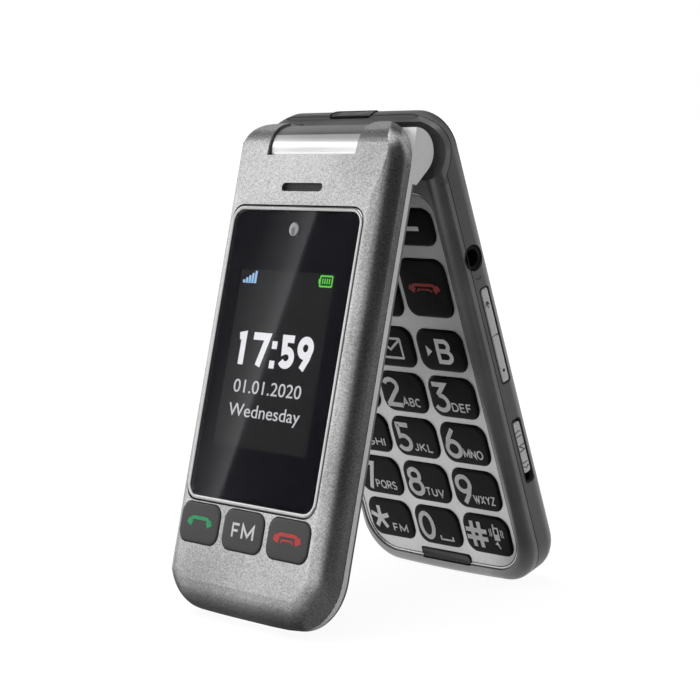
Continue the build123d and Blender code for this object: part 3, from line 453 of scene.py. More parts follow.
def finish(name, dark, light, roughness, grain, depth, cloud=6.0, metallic=0.0, specular=0.5, coat=0.0,
           coat_roughness=0.1, fleck=0.0):
    """A tint between dark and light: wide clouds and a fine grain choose the mix, and the grain is pressed in
    as bump. fleck adds single bright and dark flakes, as in metallic paint. Sizes are in millimetres.
    The two noises together run from about 0.6 to 1.4, and one alone from 0.3 to 0.7."""
    made, tree = blank(name)
    where = place_of(tree)
    fine, wide = noise(tree, where, grain, 2.0), noise(tree, where, cloud, 1.0)
    value = mapped(tree, maths(tree, "ADD", fine, wide), 0.0, 1.0, 0.6, 1.4)
    if fleck:
        flakes = put(tree, "TexVoronoi", where, Scale=1000.0 / grain).outputs["Color"]
        spread = mapped(tree, put(tree, "SeparateColor", flakes), -fleck, fleck)
        value = maths(tree, "ADD", value, spread, use_clamp=True)
    return principled(made, tree, Base_Color=ramp(tree, value, [(0.0, dark), (1.0, light)]),
                      Roughness=mapped(tree, wide, *roughness, 0.3, 0.7), Metallic=metallic,
                      Normal=put(tree, "Bump", Height=fine, Strength=0.5, Distance=depth * MM),
                      Specular_IOR_Level=specular, Coat_Weight=coat, Coat_Roughness=coat_roughness)


lid_paint = finish("sparkling_grey_paint", 0.29, 0.58, (0.29, 0.32), 0.20, 0.003, 20.0, 0.95, fleck=0.5)
rim_metal = finish("plated_rim", 0.44, 0.58, (0.18, 0.26), 0.3, 0.001, 7.0, 1.0)
barrel_chrome = finish("plated_barrel", 0.99, 1.0, (0.22, 0.26), 0.3, 0.0003, 12.0, 0.7)
bezel_silver = finish("satin_bezel_paint", 0.22, 0.31, (0.30, 0.36), 0.16, 0.008, 12.0, 0.8, fleck=0.2)
rear_grey = finish("satin_rear_paint", 0.135, 0.20, (0.36, 0.44), 0.18, 0.012, 12.0, 0.7, fleck=0.2)
panel_silver = finish("satin_panel_paint", 0.43, 0.62, (0.30, 0.36), 0.16, 0.008, 12.0, 0.85, fleck=0.15)
side_silver = finish("side_key_paint", 0.62, 0.76, (0.30, 0.38), 0.2, 0.008, 5.0, 0.7)
key_black = finish("key_black", grey(0.007, -0.03), grey(0.012, -0.03), (0.26, 0.34), 0.2, 0.004,
                   specular=0.07)
button_black = finish("button_black", 0.040, 0.052, (0.36, 0.46), 0.2, 0.006, specular=0.4)
black_plastic = finish("black_moulding", 0.006, 0.012, (0.5, 0.62), 0.3, 0.02, 5.0, specular=0.2)
rubber = finish("matt_rubber", 0.009, 0.018, (0.8, 0.92), 0.35, 0.04, 4.0, specular=0.10)
strip_black = finish("strip_black", 0.014, 0.024, (0.30, 0.40), 0.25, 0.006, 4.0, specular=0.3)
steel = finish("plain_steel", 0.42, 0.58, (0.28, 0.42), 0.15, 0.005, 3.0, 1.0)
battery_wrap = finish("battery_wrap", 0.50, 0.62, (0.28, 0.36), 0.6, 0.02, 12.0, 0.4)
amber_film = finish("amber_film", (0.42, 0.20, 0.03), (0.60, 0.32, 0.06), (0.3, 0.4), 0.4, 0.01, 3.0)
dead_display = finish("dark_display", grey(0.006, -0.2), grey(0.010, -0.2), (0.12, 0.2), 0.3, 0.001, 10.0)
print("finishes so far:", len(bpy.data.materials))

# %% [markdown]
# Glass and lenses let light through. The window is tinted, nearly smooth, and a faint film of handling
# makes its gloss uneven. The boards and the meshes hardly show, but get their own look.

# %% Clear and inner finishes
WAVES_PER_UNIT = 3.18


def clear(name, tint, roughness, ior=1.5):
    """A see-through finish whose gloss is a little uneven."""
    made, tree = blank(name)
    film = put(tree, "TexNoise", place_of(tree), Scale=140.0, Detail=4.0)
    tinted = ramp(tree, film, [(0.0, rgba(tint, 0.96)[:3]), (1.0, tint)])
    return principled(made, tree, Base_Color=tinted, Roughness=mapped(tree, film, *roughness),
                      Transmission_Weight=1.0, IOR=ior)


def boarded(name, ground, line, pitch):
    """A board: a ground crossed by thin printed lines, from a brick pattern."""
    made, tree = blank(name)
    bricks = put(tree, "TexBrick", place_of(tree, "base"), Scale=1000.0 / pitch, Color1=rgba(ground),
                 Color2=rgba(ground, 0.8), Mortar=rgba(line), Mortar_Size=0.012)
    return principled(made, tree, Base_Color=bricks, Roughness=0.45)


def woven(name, half, pitch, dark, light):
    """A fine metal or cloth mesh: crossing waves are the threads, and the holes between are dark."""
    made, tree = blank(name)
    where = place_of(tree, half)
    threads = [put(tree, "TexWave", where, wave_type="BANDS", bands_direction=way,
                   Scale=1000.0 / pitch / WAVES_PER_UNIT).outputs["Fac"] for way in ("X", "Y")]
    weave = maths(tree, "MAXIMUM", *threads)
    return principled(made, tree, Base_Color=ramp(tree, weave, [(0.55, dark), (0.95, light)]), Roughness=0.5,
                      Normal=put(tree, "Bump", Height=weave, Strength=0.7, Distance=0.06 * MM))


window_glass = clear("window_glass", (0.93, 0.93, 0.97), (0.0, 0.03))
torch_clear = clear("torch_lens_plastic", (0.60, 0.61, 0.63), (0.25, 0.45), 1.46)
green_board = boarded("green_board", (0.02, 0.10, 0.045), (0.35, 0.27, 0.09), 1.6)
lid_mesh = woven("ringer_mesh_cloth", "lid", 0.34, 0.004, 0.05)
speaker_mesh = woven("speaker_mesh_cloth", "base", 0.4, 0.004, 0.06)
print("clear, woven and printed finishes made")

# %% [markdown]
# The lid's frame is one moulding in two finishes: a bright band goes round its outer edge, up to the
# knuckles, and the face that shuts on the keypad is left dark. The height along the lid's z tells them apart.

# %% Two finishes on one moulding
MIX_FIRST, MIX_SECOND, MIX_RESULT = 6, 7, 2


def banded(name, half, above, beyond, inside, outside, fade=0.08):
    """outside above a height of the half or beyond a place along it, in millimetres, and inside elsewhere."""
    made, tree = blank(name)
    where = place_of(tree)
    steps = []
    for way, edge in ((LEAN[half][2], above), (LEAN[half][1], beyond)):
        level = put(tree, "VectorMath", where, tuple(way / MM), operation="DOT_PRODUCT").outputs["Value"]
        start = float(HINGE @ way / MM) + edge
        steps.append(mapped(tree, level, 0.0, 1.0, start - fade, start + fade))
    grains = noise(tree, where, 0.2, 2.0)
    tint = put(tree, "Mix", maths(tree, "MAXIMUM", *steps), data_type="RGBA")
    for socket, (dark, light) in ((MIX_FIRST, inside), (MIX_SECOND, outside)):
        feed(tree, tint.inputs[socket], ramp(tree, grains, [(0.3, dark), (0.7, light)]))
    return principled(made, tree, Base_Color=tint.outputs[MIX_RESULT], Metallic=0.35,
                      Roughness=mapped(tree, grains, 0.28, 0.38))


frame_finish = banded("banded_frame", "lid", -0.25, -6.5, (0.12, 0.16), (0.84, 0.94))
print("the lid's frame turns bright 0.25 mm under the plane of the axis")

# %% [markdown]
# The solids keep their shapes and take the finishes. The list below names the solids of each finish.

# %% Dress the solids
DRESS = {
    lid_paint: "lid_outer_shell", frame_finish: "lid_inner_frame", window_glass: "outer_window inner_window",
    lid_mesh: "ringer_mesh", speaker_mesh: "earpiece loudspeaker",
    dead_display: "outer_display inner_display", battery_wrap: "battery", torch_clear: "torch_lens",
    black_plastic: "camera_module board_parts jack_socket", rubber: "lid_bumpers key_mat",
    green_board: "lid_board main_board", barrel_chrome: "hinge_barrel", amber_film: "hinge_flex",
    steel: "lid_screws hinge_shaft vibration_motor usb_port hinge_cam_housing hinge_cam_spring hinge_pin",
    bezel_silver: "base_front_shell", rear_grey: "base_rear_shell battery_cover",
    panel_silver: "keypad_panel", strip_black: "foot_strip", side_silver: "volume_rocker torch_slider",
}
finish_of = {name: made for made, names in DRESS.items() for name in names.split()}
for name, thing in nodes.items():
    thing.data.materials.clear()
    thing.data.materials.append(finish_of.get(name, key_black))
    thing.data.polygons.foreach_set("material_index", np.zeros(len(thing.data.polygons), np.int32))
print("dressed", len(finish_of), "solids by name, and the rest as keys")

# %% [markdown]
# Most new pieces follow a rounded outline seen from the front. An outline is a closed run of points
# with the direction that points outwards at each, so a profile can be carried along it.
# The same count of points at every size lets one outline be joined to a smaller one.

# %% Rounded outlines
CORNER_POINTS = 14


def compass(degrees):
    """Unit vectors at these angles."""
    a = np.radians(degrees)
    return np.stack([np.cos(a), np.sin(a)], 1)


def rounded(width, height, radius, per_corner=9, per_side=3):
    """Points and outward directions of a rounded rectangle: four quarter circles joined by straight runs."""
    ways = np.stack([compass(90 * turn + np.linspace(0, 90, per_corner)) for turn in range(4)])
    centres = np.array([(1, 1), (-1, 1), (-1, -1), (1, -1)]) * [width / 2 - radius, height / 2 - radius]
    corners = centres[:, None] + radius * ways
    t = np.linspace(0, 1, per_side + 2)[1:-1, None]
    runs = corners[:, -1:] * (1 - t) + np.roll(corners, -1, axis=0)[:, :1] * t
    run_ways = np.repeat(ways[:, -1:], per_side, axis=1)
    return [np.concatenate(both, 1).reshape(-1, 2) for both in ((corners, runs), (ways, run_ways))]


def half_outline(side, top, foot, shoulder, corner, bow, per_side=60):
    """Points and outward directions round one half: straight sides and top, a bottom end on a wide arc that
    bows out by bow, and rounded corners. The wide arc's radius is (side^2 + bow^2) / (2 bow)."""
    wide = (side ** 2 + bow ** 2) / (2 * bow)
    wide_y = wide - foot
    low_y = wide_y - math.sqrt((wide - corner) ** 2 - (side - corner) ** 2)
    meet = math.degrees(math.atan2(side - corner, wide_y - low_y))
    arcs = [(side - shoulder, top - shoulder, shoulder, 0, 90),
            (shoulder - side, top - shoulder, shoulder, 90, 180),
            (corner - side, low_y, corner, 180, 270 - meet), (0, wide_y, wide, 270 - meet, 270 + meet),
            (side - corner, low_y, corner, 270 + meet, 360)]
    points, ways = [], []
    for x0, y0, radius, start, end in arcs:
        ways.append(compass(np.linspace(start, end, CORNER_POINTS)))
        points.append(np.array([x0, y0]) + radius * ways[-1])
        if start == 90 or end == 360:
            go = points[-1][-1]
            to = np.array([go[0], low_y if start == 90 else top - shoulder])
            t = np.linspace(0, 1, per_side + 2)[1:-1, None]
            points.append(go * (1 - t) + to * t)
            ways.append(np.repeat(ways[-1][-1:], per_side, axis=0))
    return np.concatenate(points), np.concatenate(ways)


def carried(outline, profile, lift=0.0, ring=True):
    """The profile's (out, z) points carried along an outline: P = outline + out * way, and z + lift.
    A run that isn't a ring is capped at both ends."""
    points, ways = outline
    out, z = np.asarray(profile, float).T
    plan = points[:, None] + ways[:, None] * out[:, None]
    points, faces = skin(np.dstack([plan, z + np.reshape(lift, (-1, 1)) + 0 * plan[..., 0]]), ring)
    if not ring:
        faces += [list(range(len(out)))[::-1], list(range(len(points) - len(out), len(points)))]
    return points, faces


def stacked(flats, levels, axis=0):
    """A grid of points from flat outlines of one count, each lifted to its own z."""
    return np.stack([np.column_stack([flat, np.broadcast_to(z, len(flat))])
                     for flat, z in zip(flats, levels)], axis)


print("outline of the glass has", len(rounded(38, 60.2, 2.5)[0]), "points")

# %% [markdown]
# Real key caps are moulded with a soft crown and a rolled edge, which catch light in a way that a flat
# plate can't. A cap is rings of points: rings of a smaller outline shrink to the middle along the crown,
# then the edge rolls over on a quarter circle, and the wall goes down into the phone.
# The rings that are drawn to one point at the middle are merged there.

# %% Crowned caps
CAP_FLANGE, CAP_FLANGE_THICKNESS, CROWN_RINGS = 0.5, 0.5, 9
ROLL_DEGREES = [20, 40, 60, 80, 90]


def crown_at(x, y, width, height, crown):
    """Height of the crown over its edge: crown * (1 - (2x/w)^2) * (1 - (2y/h)^2)."""
    return crown * (1 - (2 * x / width) ** 2) * (1 - (2 * y / height) ** 2)


def cap(width, height, radius, edge, low, crown, roll, at):
    """A closed cap: crown, rolled edge, wall and, under the panel, the lip that keeps it in."""
    inner, ways = rounded(width - 2 * roll, height - 2 * roll, radius - roll)
    outer = inner + ways * roll
    flats = [inner * t for t in np.linspace(0, 1, CROWN_RINGS)]
    levels = [edge + crown_at(*flat.T, width, height, crown) for flat in flats]
    rim_level = levels[-1]
    for a in np.radians(ROLL_DEGREES):
        flats.append(inner + ways * roll * math.sin(a))
        levels.append(rim_level - roll * (1 - math.cos(a)))
    flats += [outer, outer + ways * CAP_FLANGE, outer + ways * CAP_FLANGE, inner * 0]
    levels += [low + CAP_FLANGE_THICKNESS] * 2 + [low, low]
    return skin(stacked(flats, levels) + np.array([*at, 0.0]))


print("a crown of 0.16 is", round(float(crown_at(5, 3, 13.2, 9.3, 0.16)), 3), "mm high near a corner")

# %% [markdown]
# The real keys are one rubber mat with a hard cap glued on each dome, all of one width.
# Their places are a grid: three columns, and rows of one pitch counted down from the first.
# Each cap stands for its plain key, so it takes over that key's node and moves with it.

# %% Keys of the base
KEY_EDGE, KEY_LOW, KEY_ROLL, KEY_CROWN, KEY_CORNER = -1.85, -3.75, 0.42, 0.16, 2.8
KEY_WIDTH, KEY_HEIGHT, COLUMN, ROW, FIRST_ROW = 13.2, 9.302, 14.75, 10.792, 44.591
keys = {
    "key_soft_left": (-COLUMN, -17.05, 8.1), "key_soft_right": (COLUMN, -17.05, 8.1),
    "key_nav": (0.0, -24.985, 24.97), "key_send": (-COLUMN, -30.52, 12.9), "key_end": (COLUMN, -30.52, 12.9),
}
for row, names in enumerate(("a message b", "1 2 3", "4 5 6", "7 8 9", "star 0 hash")):
    for column, name in enumerate(names.split()):
        keys["key_" + name] = ((column - 1) * COLUMN, -(FIRST_ROW + row * ROW), KEY_HEIGHT)
for name, (x0, y0, high) in keys.items():
    crowned = cap(KEY_WIDTH, high, KEY_CORNER, KEY_EDGE, KEY_LOW, KEY_CROWN, KEY_ROLL, (x0, y0))
    made = piece("cap_" + name, [crowned], "base", name, key_black)
    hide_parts(name)
print("key caps:", len(keys), "each", len(made.data.vertices), "points")

# %% [markdown]
# The three buttons on the lid are softer: a wider rolled edge and a fuller crown than the keys.
# The same surface makes them, with other numbers.

# %% Buttons of the lid
BUTTON_EDGE, BUTTON_LOW, BUTTON_ROLL, BUTTON_CROWN, BUTTON_CORNER = 7.5, 5.3, 0.45, 0.15, 2.4
BUTTON_WIDTH, BUTTON_HEIGHT, BUTTON_PITCH, BUTTON_PLACE = 12.3, 8.3, 13.7, -79.8
buttons = {"lid_send_button": -BUTTON_PITCH, "lid_fm_button": 0.0, "lid_end_button": BUTTON_PITCH}
for name, x0 in buttons.items():
    crowned = cap(BUTTON_WIDTH, BUTTON_HEIGHT, BUTTON_CORNER, BUTTON_EDGE, BUTTON_LOW, BUTTON_CROWN,
                  BUTTON_ROLL, (x0, BUTTON_PLACE))
    made = piece("cap_" + name, [crowned], "lid", name, button_black)
    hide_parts(name)
print("lid buttons:", list(buttons))

# %% [markdown]
# Legends are ink or a second moulding in the cap, a hair proud of it. Large figures and signs are strokes:
# a pen line with a width, which may swell or shrink along it. At a bend the two sides meet on the line
# that halves the corner. The words of the display come from the built-in font, turned into a mesh.
# Both are then laid on the surface that carries them.

# %% Strokes
INK_DEEP, INK_PROUD, STEP, SHORTEST = 0.08, 0.035, 0.45, 0.02
LEAST_COSINE, MOST_SPREAD, FONT_CAPITAL = 0.3, 2.5, 0.729


def arc(x0, y0, rx, ry, start, end, count=15):
    """Points on an ellipse from one angle to another, in degrees."""
    return np.array([x0, y0]) + np.array([rx, ry]) * compass(np.linspace(start, end, count))


def unit(vectors):
    """Each vector over its length."""
    return vectors / np.linalg.norm(vectors, axis=1)[:, None]


def stroke(line, width, closed=False):
    """A solid ribbon along a flat line: two sides at half the width, on mitred directions, top and bottom.
    Points no more than STEP apart are put along it, so that it can bend over a crown."""
    line = np.asarray(line, float)
    wide = np.broadcast_to(np.asarray(width, float), len(line))
    if closed:
        line, wide = np.append(line, line[:1], 0), np.append(wide, wide[:1])
    far = np.append(0, np.cumsum(np.linalg.norm(np.diff(line, axis=0), axis=1)))
    keep = np.append(True, np.diff(far) > 1e-6)
    line, wide, far = line[keep], wide[keep], far[keep]
    steps = np.unique(np.concatenate([far, np.arange(0, far[-1], STEP)]).round(6))
    steps = steps[np.append(True, np.diff(steps) > SHORTEST)][: -1 if closed else None]
    line = np.stack([np.interp(steps, far, line[:, 0]), np.interp(steps, far, line[:, 1])], 1)
    wide = np.interp(steps, far, wide)
    ahead, behind = np.roll(line, -1, 0) - line, line - np.roll(line, 1, 0)
    if not closed:
        ahead[-1], behind[0] = behind[-1], ahead[0]
    ahead = unit(ahead)
    along = unit(ahead + unit(behind))
    way = np.stack([-along[:, 1], along[:, 0]], 1)
    cosine = np.abs((along * ahead).sum(1))
    spread = np.clip(1 / np.maximum(cosine, LEAST_COSINE), 1, MOST_SPREAD)
    reach = way * (wide / 2 * spread)[:, None]
    sides = [line + reach, line - reach, line - reach, line + reach]
    points, faces = skin(stacked(sides, [INK_PROUD, INK_PROUD, -INK_DEEP, -INK_DEEP], 1), closed)
    if not closed:
        last = 4 * (len(line) - 1)
        faces += [[0, 1, 2, 3], [last + 3, last + 2, last + 1, last]]
    return points, faces


def drawn(x0, y0, *lines):
    """Strokes from (line, pen) or, for a ring, (line, pen, True), all moved by x0 and y0."""
    return [stroke(np.asarray(line, float) + [x0, y0], *pen) for line, *pen in lines]


def letters(text, left, right_end, baseline, capital):
    """Built-in lettering as a solid, fitted between left and right_end with capitals of the given height."""
    curve = bpy.data.curves.new("letters", "FONT")
    curve.body, curve.extrude, curve.resolution_u = text, 1.0, 5
    holder = placed("letters", curve)
    bpy.context.view_layer.update()
    mesh = bpy.data.meshes.new_from_object(holder)
    points = np.zeros(len(mesh.vertices) * 3)
    mesh.vertices.foreach_get("co", points)
    x, y, z = points.reshape(-1, 3).T
    faces = [list(face.vertices) for face in mesh.polygons]
    bpy.data.objects.remove(holder)
    return xyz(left + (x - x.min()) * (right_end - left) / (x.max() - x.min()),
               baseline + y * capital / FONT_CAPITAL, np.where(z > 0, INK_PROUD, -INK_DEEP)), faces


def laid(parts, surface):
    """Parts moved onto a surface: z counts from surface(x, y)."""
    points, faces = together(parts)
    points[:, 2] += surface(points[:, 0], points[:, 1])
    return points, faces


print("a stroke of 3 mm has", len(stroke([(0, 0), (3, 0)], 1)[0]), "points")

# %% [markdown]
# A figure is a few strokes in a box: bowls are parts of ellipses, and stems are straight.
# Drawing them this way keeps the pen one width, as on the moulded keys, and lets a figure be made wider
# or taller without its strokes growing fatter.

# %% Figures in strokes


def figure(sign, x0, y0, w, h, pen):
    """The strokes of a figure or letter, in a box w by h whose middle is (x0, y0); pen is the stroke's width.
    Bowls are ellipses, and stems are straight."""
    a, b = (w - pen) / 2, (h - pen) / 2
    left, right, top, foot = x0 - a, x0 + a, y0 + b, y0 - b
    q, nib = b / 2, pen / 2
    rings, lines = [], []
    if sign == "0":
        rings = [arc(x0, y0, a, b, 0, 352.8, 50)]
    elif sign == "1":
        lines = [[(left + 0.15 * a, top - 0.10 * b), (x0 + 0.2 * a, top), (x0 + 0.2 * a, foot - nib)]]
    elif sign == "2":
        lines = [[*arc(x0, top - 0.98 * q, a, 0.98 * q, 165, -28, 18), (left + 0.15, foot + 0.1)],
                 [(left - pen * 0.35, foot), (right + nib, foot)]]
    elif sign == "3":
        lines = [[(left - 0.1, top), (right - 0.25 * a, top), (x0 - 0.25 * a, y0 + 0.28 * b),
                  *arc(x0 - 0.12 * a, foot + 1.15 * q, 1.05 * a, 1.15 * q, 88, -150, 24)]]
    elif sign == "4":
        lines = [[(x0 + 0.35 * a, foot - nib), (x0 + 0.35 * a, top), (left, foot + 0.62 * b),
                  (right + nib, foot + 0.62 * b)]]
    elif sign == "5":
        lines = [[(right, top), (left + 0.25 * a, top),
                  *arc(x0 - 0.12 * a, foot + 1.12 * q, 1.05 * a, 1.12 * q, 118, -148, 26)]]
    elif sign in "69":
        u, v = (a, b) if sign == "6" else (-a, -b)
        s = v / b
        rings = [arc(x0, y0 - v + 1.18 * q * s, a, 1.18 * q, 0, 350, 36)]
        lines = [[(x0 - u * 0.99, y0 - v + 1.22 * q * s), (x0 - u * 0.62, y0 + 0.35 * v),
                  (x0 + u * 0.30, y0 + v + pen * 0.4 * s)]]
    elif sign == "7":
        lines = [[(left - nib, top), (right, top), (x0 - 0.12 * a, foot - nib)]]
    elif sign == "8":
        rings = [arc(x0, top - 0.92 * q, 0.84 * a, 0.92 * q, 0, 350, 36),
                 arc(x0, foot + 1.12 * q, a, 1.12 * q, 0, 350, 36)]
    elif sign == "A":
        lines = [[(left, foot - nib), (x0, top), (right, foot - nib)],
                 [(left + 0.4, foot + 0.7 * b), (right - 0.4, foot + 0.7 * b)]]
    elif sign == "B":
        lines = [[(left, top), *arc(x0 + 0.2 * a, top - 0.95 * q, 0.72 * a, 0.95 * q, 90, -90, 14),
                  (left, top - 1.9 * q)],
                 [(left, foot + 2.1 * q),
                  *arc(x0 + 0.2 * a, foot + 1.05 * q, 0.95 * a, 1.05 * q, 90, -90, 16), (left, foot)],
                 [(left, foot - nib), (left, top + nib)]]
    elif sign == "*":
        lines = [[(0, 0), way] + np.array([x0, y0]) for way in compass(90 + 72 * np.arange(5)) * a * 1.1]
    elif sign == "#":
        lines = [[(x0 + k * a, foot - nib), (x0 + k * a, top + nib)] for k in (-0.42, 0.42)]
        lines += [[(left - nib, y0 + k * b), (right + nib, y0 + k * b)] for k in (-0.36, 0.36)]
    return [stroke(ring, pen, True) for ring in rings] + [stroke(line, pen) for line in lines]


def handset(x0, y0, w, h):
    """A resting handset in a box w by h: a level bar that bends down at both ends into blunt ear pieces."""
    bar = np.array([(-0.40, 0.0), (-0.31, 0.27), (-0.22, 0.32), (0.22, 0.32), (0.31, 0.27), (0.40, 0.0)])
    end = np.array([(0.36, 0.14), (0.43, -0.40)])
    return drawn(x0, y0, (bar * [w, h], 0.34 * h), *((end * [side * w, h], 0.20 * w) for side in (-1, 1)))


print("a figure three has", sum(len(points) for points, faces in figure("3", 0, 0, 5, 7, 1)), "points")

# %% [markdown]
# The small capitals of the keys are strokes too. Each letter is a width and a few lines in a box of one
# by one, so a word is its letters side by side, stretched to the room that it has.
# The built-in font would be quicker, but its outlines close up when they are made as bold as this.

# %% Capitals in strokes
round_o = arc(0.5, 0.5, 0.5, 0.5, 0, 360, 25)
upper_bowl = [(0, 0), (0, 1), *arc(0.5, 0.74, 0.5, 0.26, 90, -90, 9), (0, 0.48)]
CAPITALS = {
    "A": (0.80, [(0, 0), (0.5, 1), (1, 0)], [(0.2, 0.34), (0.8, 0.34)]),
    "B": (0.60, [(0, 1), *arc(0.5, 0.76, 0.42, 0.24, 90, -90, 9), (0, 0.52)],
          [(0, 0.52), *arc(0.55, 0.26, 0.45, 0.26, 90, -90, 9), (0, 0)], [(0, 0), (0, 1)]),
    "C": (0.75, arc(0.52, 0.5, 0.52, 0.5, 50, 310, 17)),
    "D": (0.70, [(0, 1), *arc(0.4, 0.5, 0.6, 0.5, 90, -90, 13), (0, 0)], [(0, 0), (0, 1)]),
    "E": (0.52, [(1, 1), (0, 1), (0, 0), (1, 0)], [(0, 0.52), (0.9, 0.52)]),
    "F": (0.50, [(1, 1), (0, 1), (0, 0)], [(0, 0.52), (0.85, 0.52)]),
    "G": (0.78, [*arc(0.52, 0.5, 0.52, 0.5, 50, 345, 17), (1, 0.45), (0.6, 0.45)]),
    "H": (0.68, [(0, 0), (0, 1)], [(1, 0), (1, 1)], [(0, 0.52), (1, 0.52)]),
    "I": (0.02, [(0.5, 0), (0.5, 1)]),
    "J": (0.40, [(1, 1), (1, 0.3), *arc(0.5, 0.3, 0.5, 0.3, 0, -160, 9)]),
    "K": (0.62, [(0, 0), (0, 1)], [(0.95, 1), (0, 0.40)], [(0.3, 0.6), (1, 0)]),
    "L": (0.50, [(0, 1), (0, 0), (1, 0)]),
    "M": (0.85, [(0, 0), (0, 1), (0.5, 0.2), (1, 1), (1, 0)]),
    "N": (0.70, [(0, 0), (0, 1), (1, 0), (1, 1)]),
    "O": (0.85, round_o),
    "P": (0.58, upper_bowl),
    "Q": (0.85, round_o, [(0.6, 0.25), (1, -0.08)]),
    "R": (0.62, upper_bowl, [(0.45, 0.48), (1, 0)]),
    "S": (0.58, [*arc(0.5, 0.75, 0.46, 0.25, 25, 270, 12), *arc(0.5, 0.25, 0.5, 0.25, 90, -155, 12)[1:]]),
    "T": (0.66, [(0, 1), (1, 1)], [(0.5, 1), (0.5, 0)]),
    "U": (0.66, [(0, 1), (0, 0.35), *arc(0.5, 0.35, 0.5, 0.35, 180, 360, 9), (1, 1)]),
    "V": (0.76, [(0, 1), (0.5, 0), (1, 1)]),
    "W": (1.10, [(0, 1), (0.27, 0), (0.5, 0.8), (0.73, 0), (1, 1)]),
    "X": (0.72, [(0, 0), (1, 1)], [(0, 1), (1, 0)]),
    "Y": (0.72, [(0, 1), (0.5, 0.48), (1, 1)], [(0.5, 0.48), (0.5, 0)]),
    "Z": (0.66, [(0, 1), (1, 1), (0, 0), (1, 0)]),
}


def capitals(text, left, right_end, baseline, tall, pen, gap=0.30):
    """A word of small capitals: x runs on by each letter's width and a gap, and is stretched to the room;
    y is the baseline plus the height times the letter's own y. Half the pen's width stays inside the room."""
    widths = np.array([CAPITALS[letter][0] for letter in text])
    starts = np.append(0, np.cumsum(widths[:-1] + gap))
    across = (right_end - left - pen) / (starts[-1] + widths[-1])
    parts = []
    for letter, start, width in zip(text, starts, widths):
        for line in CAPITALS[letter][1:]:
            flat = np.asarray(line, float)
            ring = len(flat) > 3 and np.allclose(flat[0], flat[-1])
            x, y = (flat[:-1] if ring else flat).T
            x, y = left + pen / 2 + (start + width * x) * across, baseline + pen / 2 + y * (tall - pen)
            parts.append(stroke(np.stack([x, y], 1), pen, ring))
    return parts


print("letters known:", "".join(CAPITALS))

# %% [markdown]
# The inks. They are matt, a little uneven as printing is, and the red one on the keypad is dim,
# since that key is only printed and not lit. A legend is laid on the crown of its key and rides with it.

# %% Inks
PRINTED = (0.45, 0.6), 0.3, 0.004, 3.0
white_ink = finish("light_ink", 0.84, 0.94, *PRINTED)
green_ink = finish("green_ink", (0.006, 0.34, 0.11), (0.012, 0.46, 0.16), *PRINTED)
red_ink = finish("red_ink", (0.58, 0.026, 0.024), (0.74, 0.040, 0.036), *PRINTED)
dim_red_ink = finish("dim_red_ink", (0.30, 0.016, 0.012), (0.42, 0.026, 0.018), *PRINTED)
mark_ink = finish("dark_mark", 0.015, 0.03, (0.5, 0.6), *PRINTED[1:])


def over_crown(x0, y0, width, high, edge, crown):
    """The crown of a cap as a function of the flat place."""
    return lambda x, y: edge + crown_at(x - x0, y - y0, width, high, crown)


def print_on_key(name, parts, ink=white_ink):
    """A legend on a key of the base."""
    x0, y0, high = keys[name]
    crown = over_crown(x0, y0, KEY_WIDTH, high, KEY_EDGE, KEY_CROWN)
    piece("legend_" + name, [laid(parts, crown)], "base", name, ink)


print("inks:", [ink.name for ink in (white_ink, green_ink, red_ink, dim_red_ink, mark_ink)])

# %% [markdown]
# Every figure key has its figure on the left and its small letters on the right, in the lower half.
# Three keys carry a sign instead of letters: a tape on the one, a space bar on the nought, and a shaking
# phone with a pointer on the last. Signs are counted from the middle of the key.

# %% Figures on the keys
DIGIT_LEFT, DIGIT_WIDE, DIGIT_TALL, DIGIT_PEN = -3.15, 4.9, 7.0, 1.08
DIGIT_BOX = {"#": (-2.8, 6.2, 6.2), "*": (DIGIT_LEFT, 6.4, DIGIT_TALL)}
SMALL = dict(zip("23456789*", "ABC DEF GHI JKL MNO PQRS TUV WXYZ FM".split()))
SMALL_ROOM = {"*": (0.4, 4.9), "7": (-1.5, 5.0), "9": (-1.0, 5.2)}
SMALL_BASELINE, SMALL_TALL = -3.05, 2.1


def sign_beside(sign, x0, y0):
    """The strokes of the small sign that a key has beside its figure, if any."""
    if sign == "0":
        return drawn(x0, y0, ([(0.5, -1.95), (0.5, -2.9), (4.1, -2.9), (4.1, -1.95)], 0.42))
    if sign == "1":
        reels = [(arc(x, -2.2, 0.55, 0.55, 0, 350, 18), 0.28, True) for x in (1.2, 3.6)]
        return drawn(x0, y0, *reels, ([(1.2, -2.8), (3.6, -2.8)], 0.28))
    if sign == "#":
        body = [(-0.62, -1.6), (-0.62, 1.2), (0.62, 1.2), (0.62, -1.6)]
        waves = [([(k, 0.9), (k * 1.12, 0.3), (k, -0.3), (k * 1.12, -0.9)], 0.2)
                 for k in (-1.3, 1.3, -1.75, 1.75)]
        return drawn(x0 + 3.1, y0 + 1.0, (body, 0.34, True), ([(-0.5, -0.85), (0.5, -0.85)], 1.1),
                     ([(-0.55, 1.2), (-0.55, 2.1)], 0.36), *waves,
                     ([(-0.55, -2.35), (0.25, -3.15)], (1.15, 0.05)), ([(-0.1, -2.8), (0.35, -3.75)], 0.3))
    return []


digit_of = {"key_star": "*", "key_hash": "#", **{"key_" + digit: digit for digit in "0123456789"}}
for name, sign in digit_of.items():
    x0, y0, high = keys[name]
    aside, wide, tall = DIGIT_BOX.get(sign, (DIGIT_LEFT, DIGIT_WIDE, DIGIT_TALL))
    parts = figure(sign, x0 + aside, y0, wide, tall, DIGIT_PEN) + sign_beside(sign, x0, y0)
    if sign in SMALL:
        start, end = SMALL_ROOM.get(sign, (-0.6, 5.0))
        parts += capitals(SMALL[sign], x0 + start, x0 + end, y0 + SMALL_BASELINE, SMALL_TALL,
                          0.31 if len(SMALL[sign]) > 3 else 0.34)
    print_on_key(name, parts)
print("figures printed:", "".join(digit_of.values()))

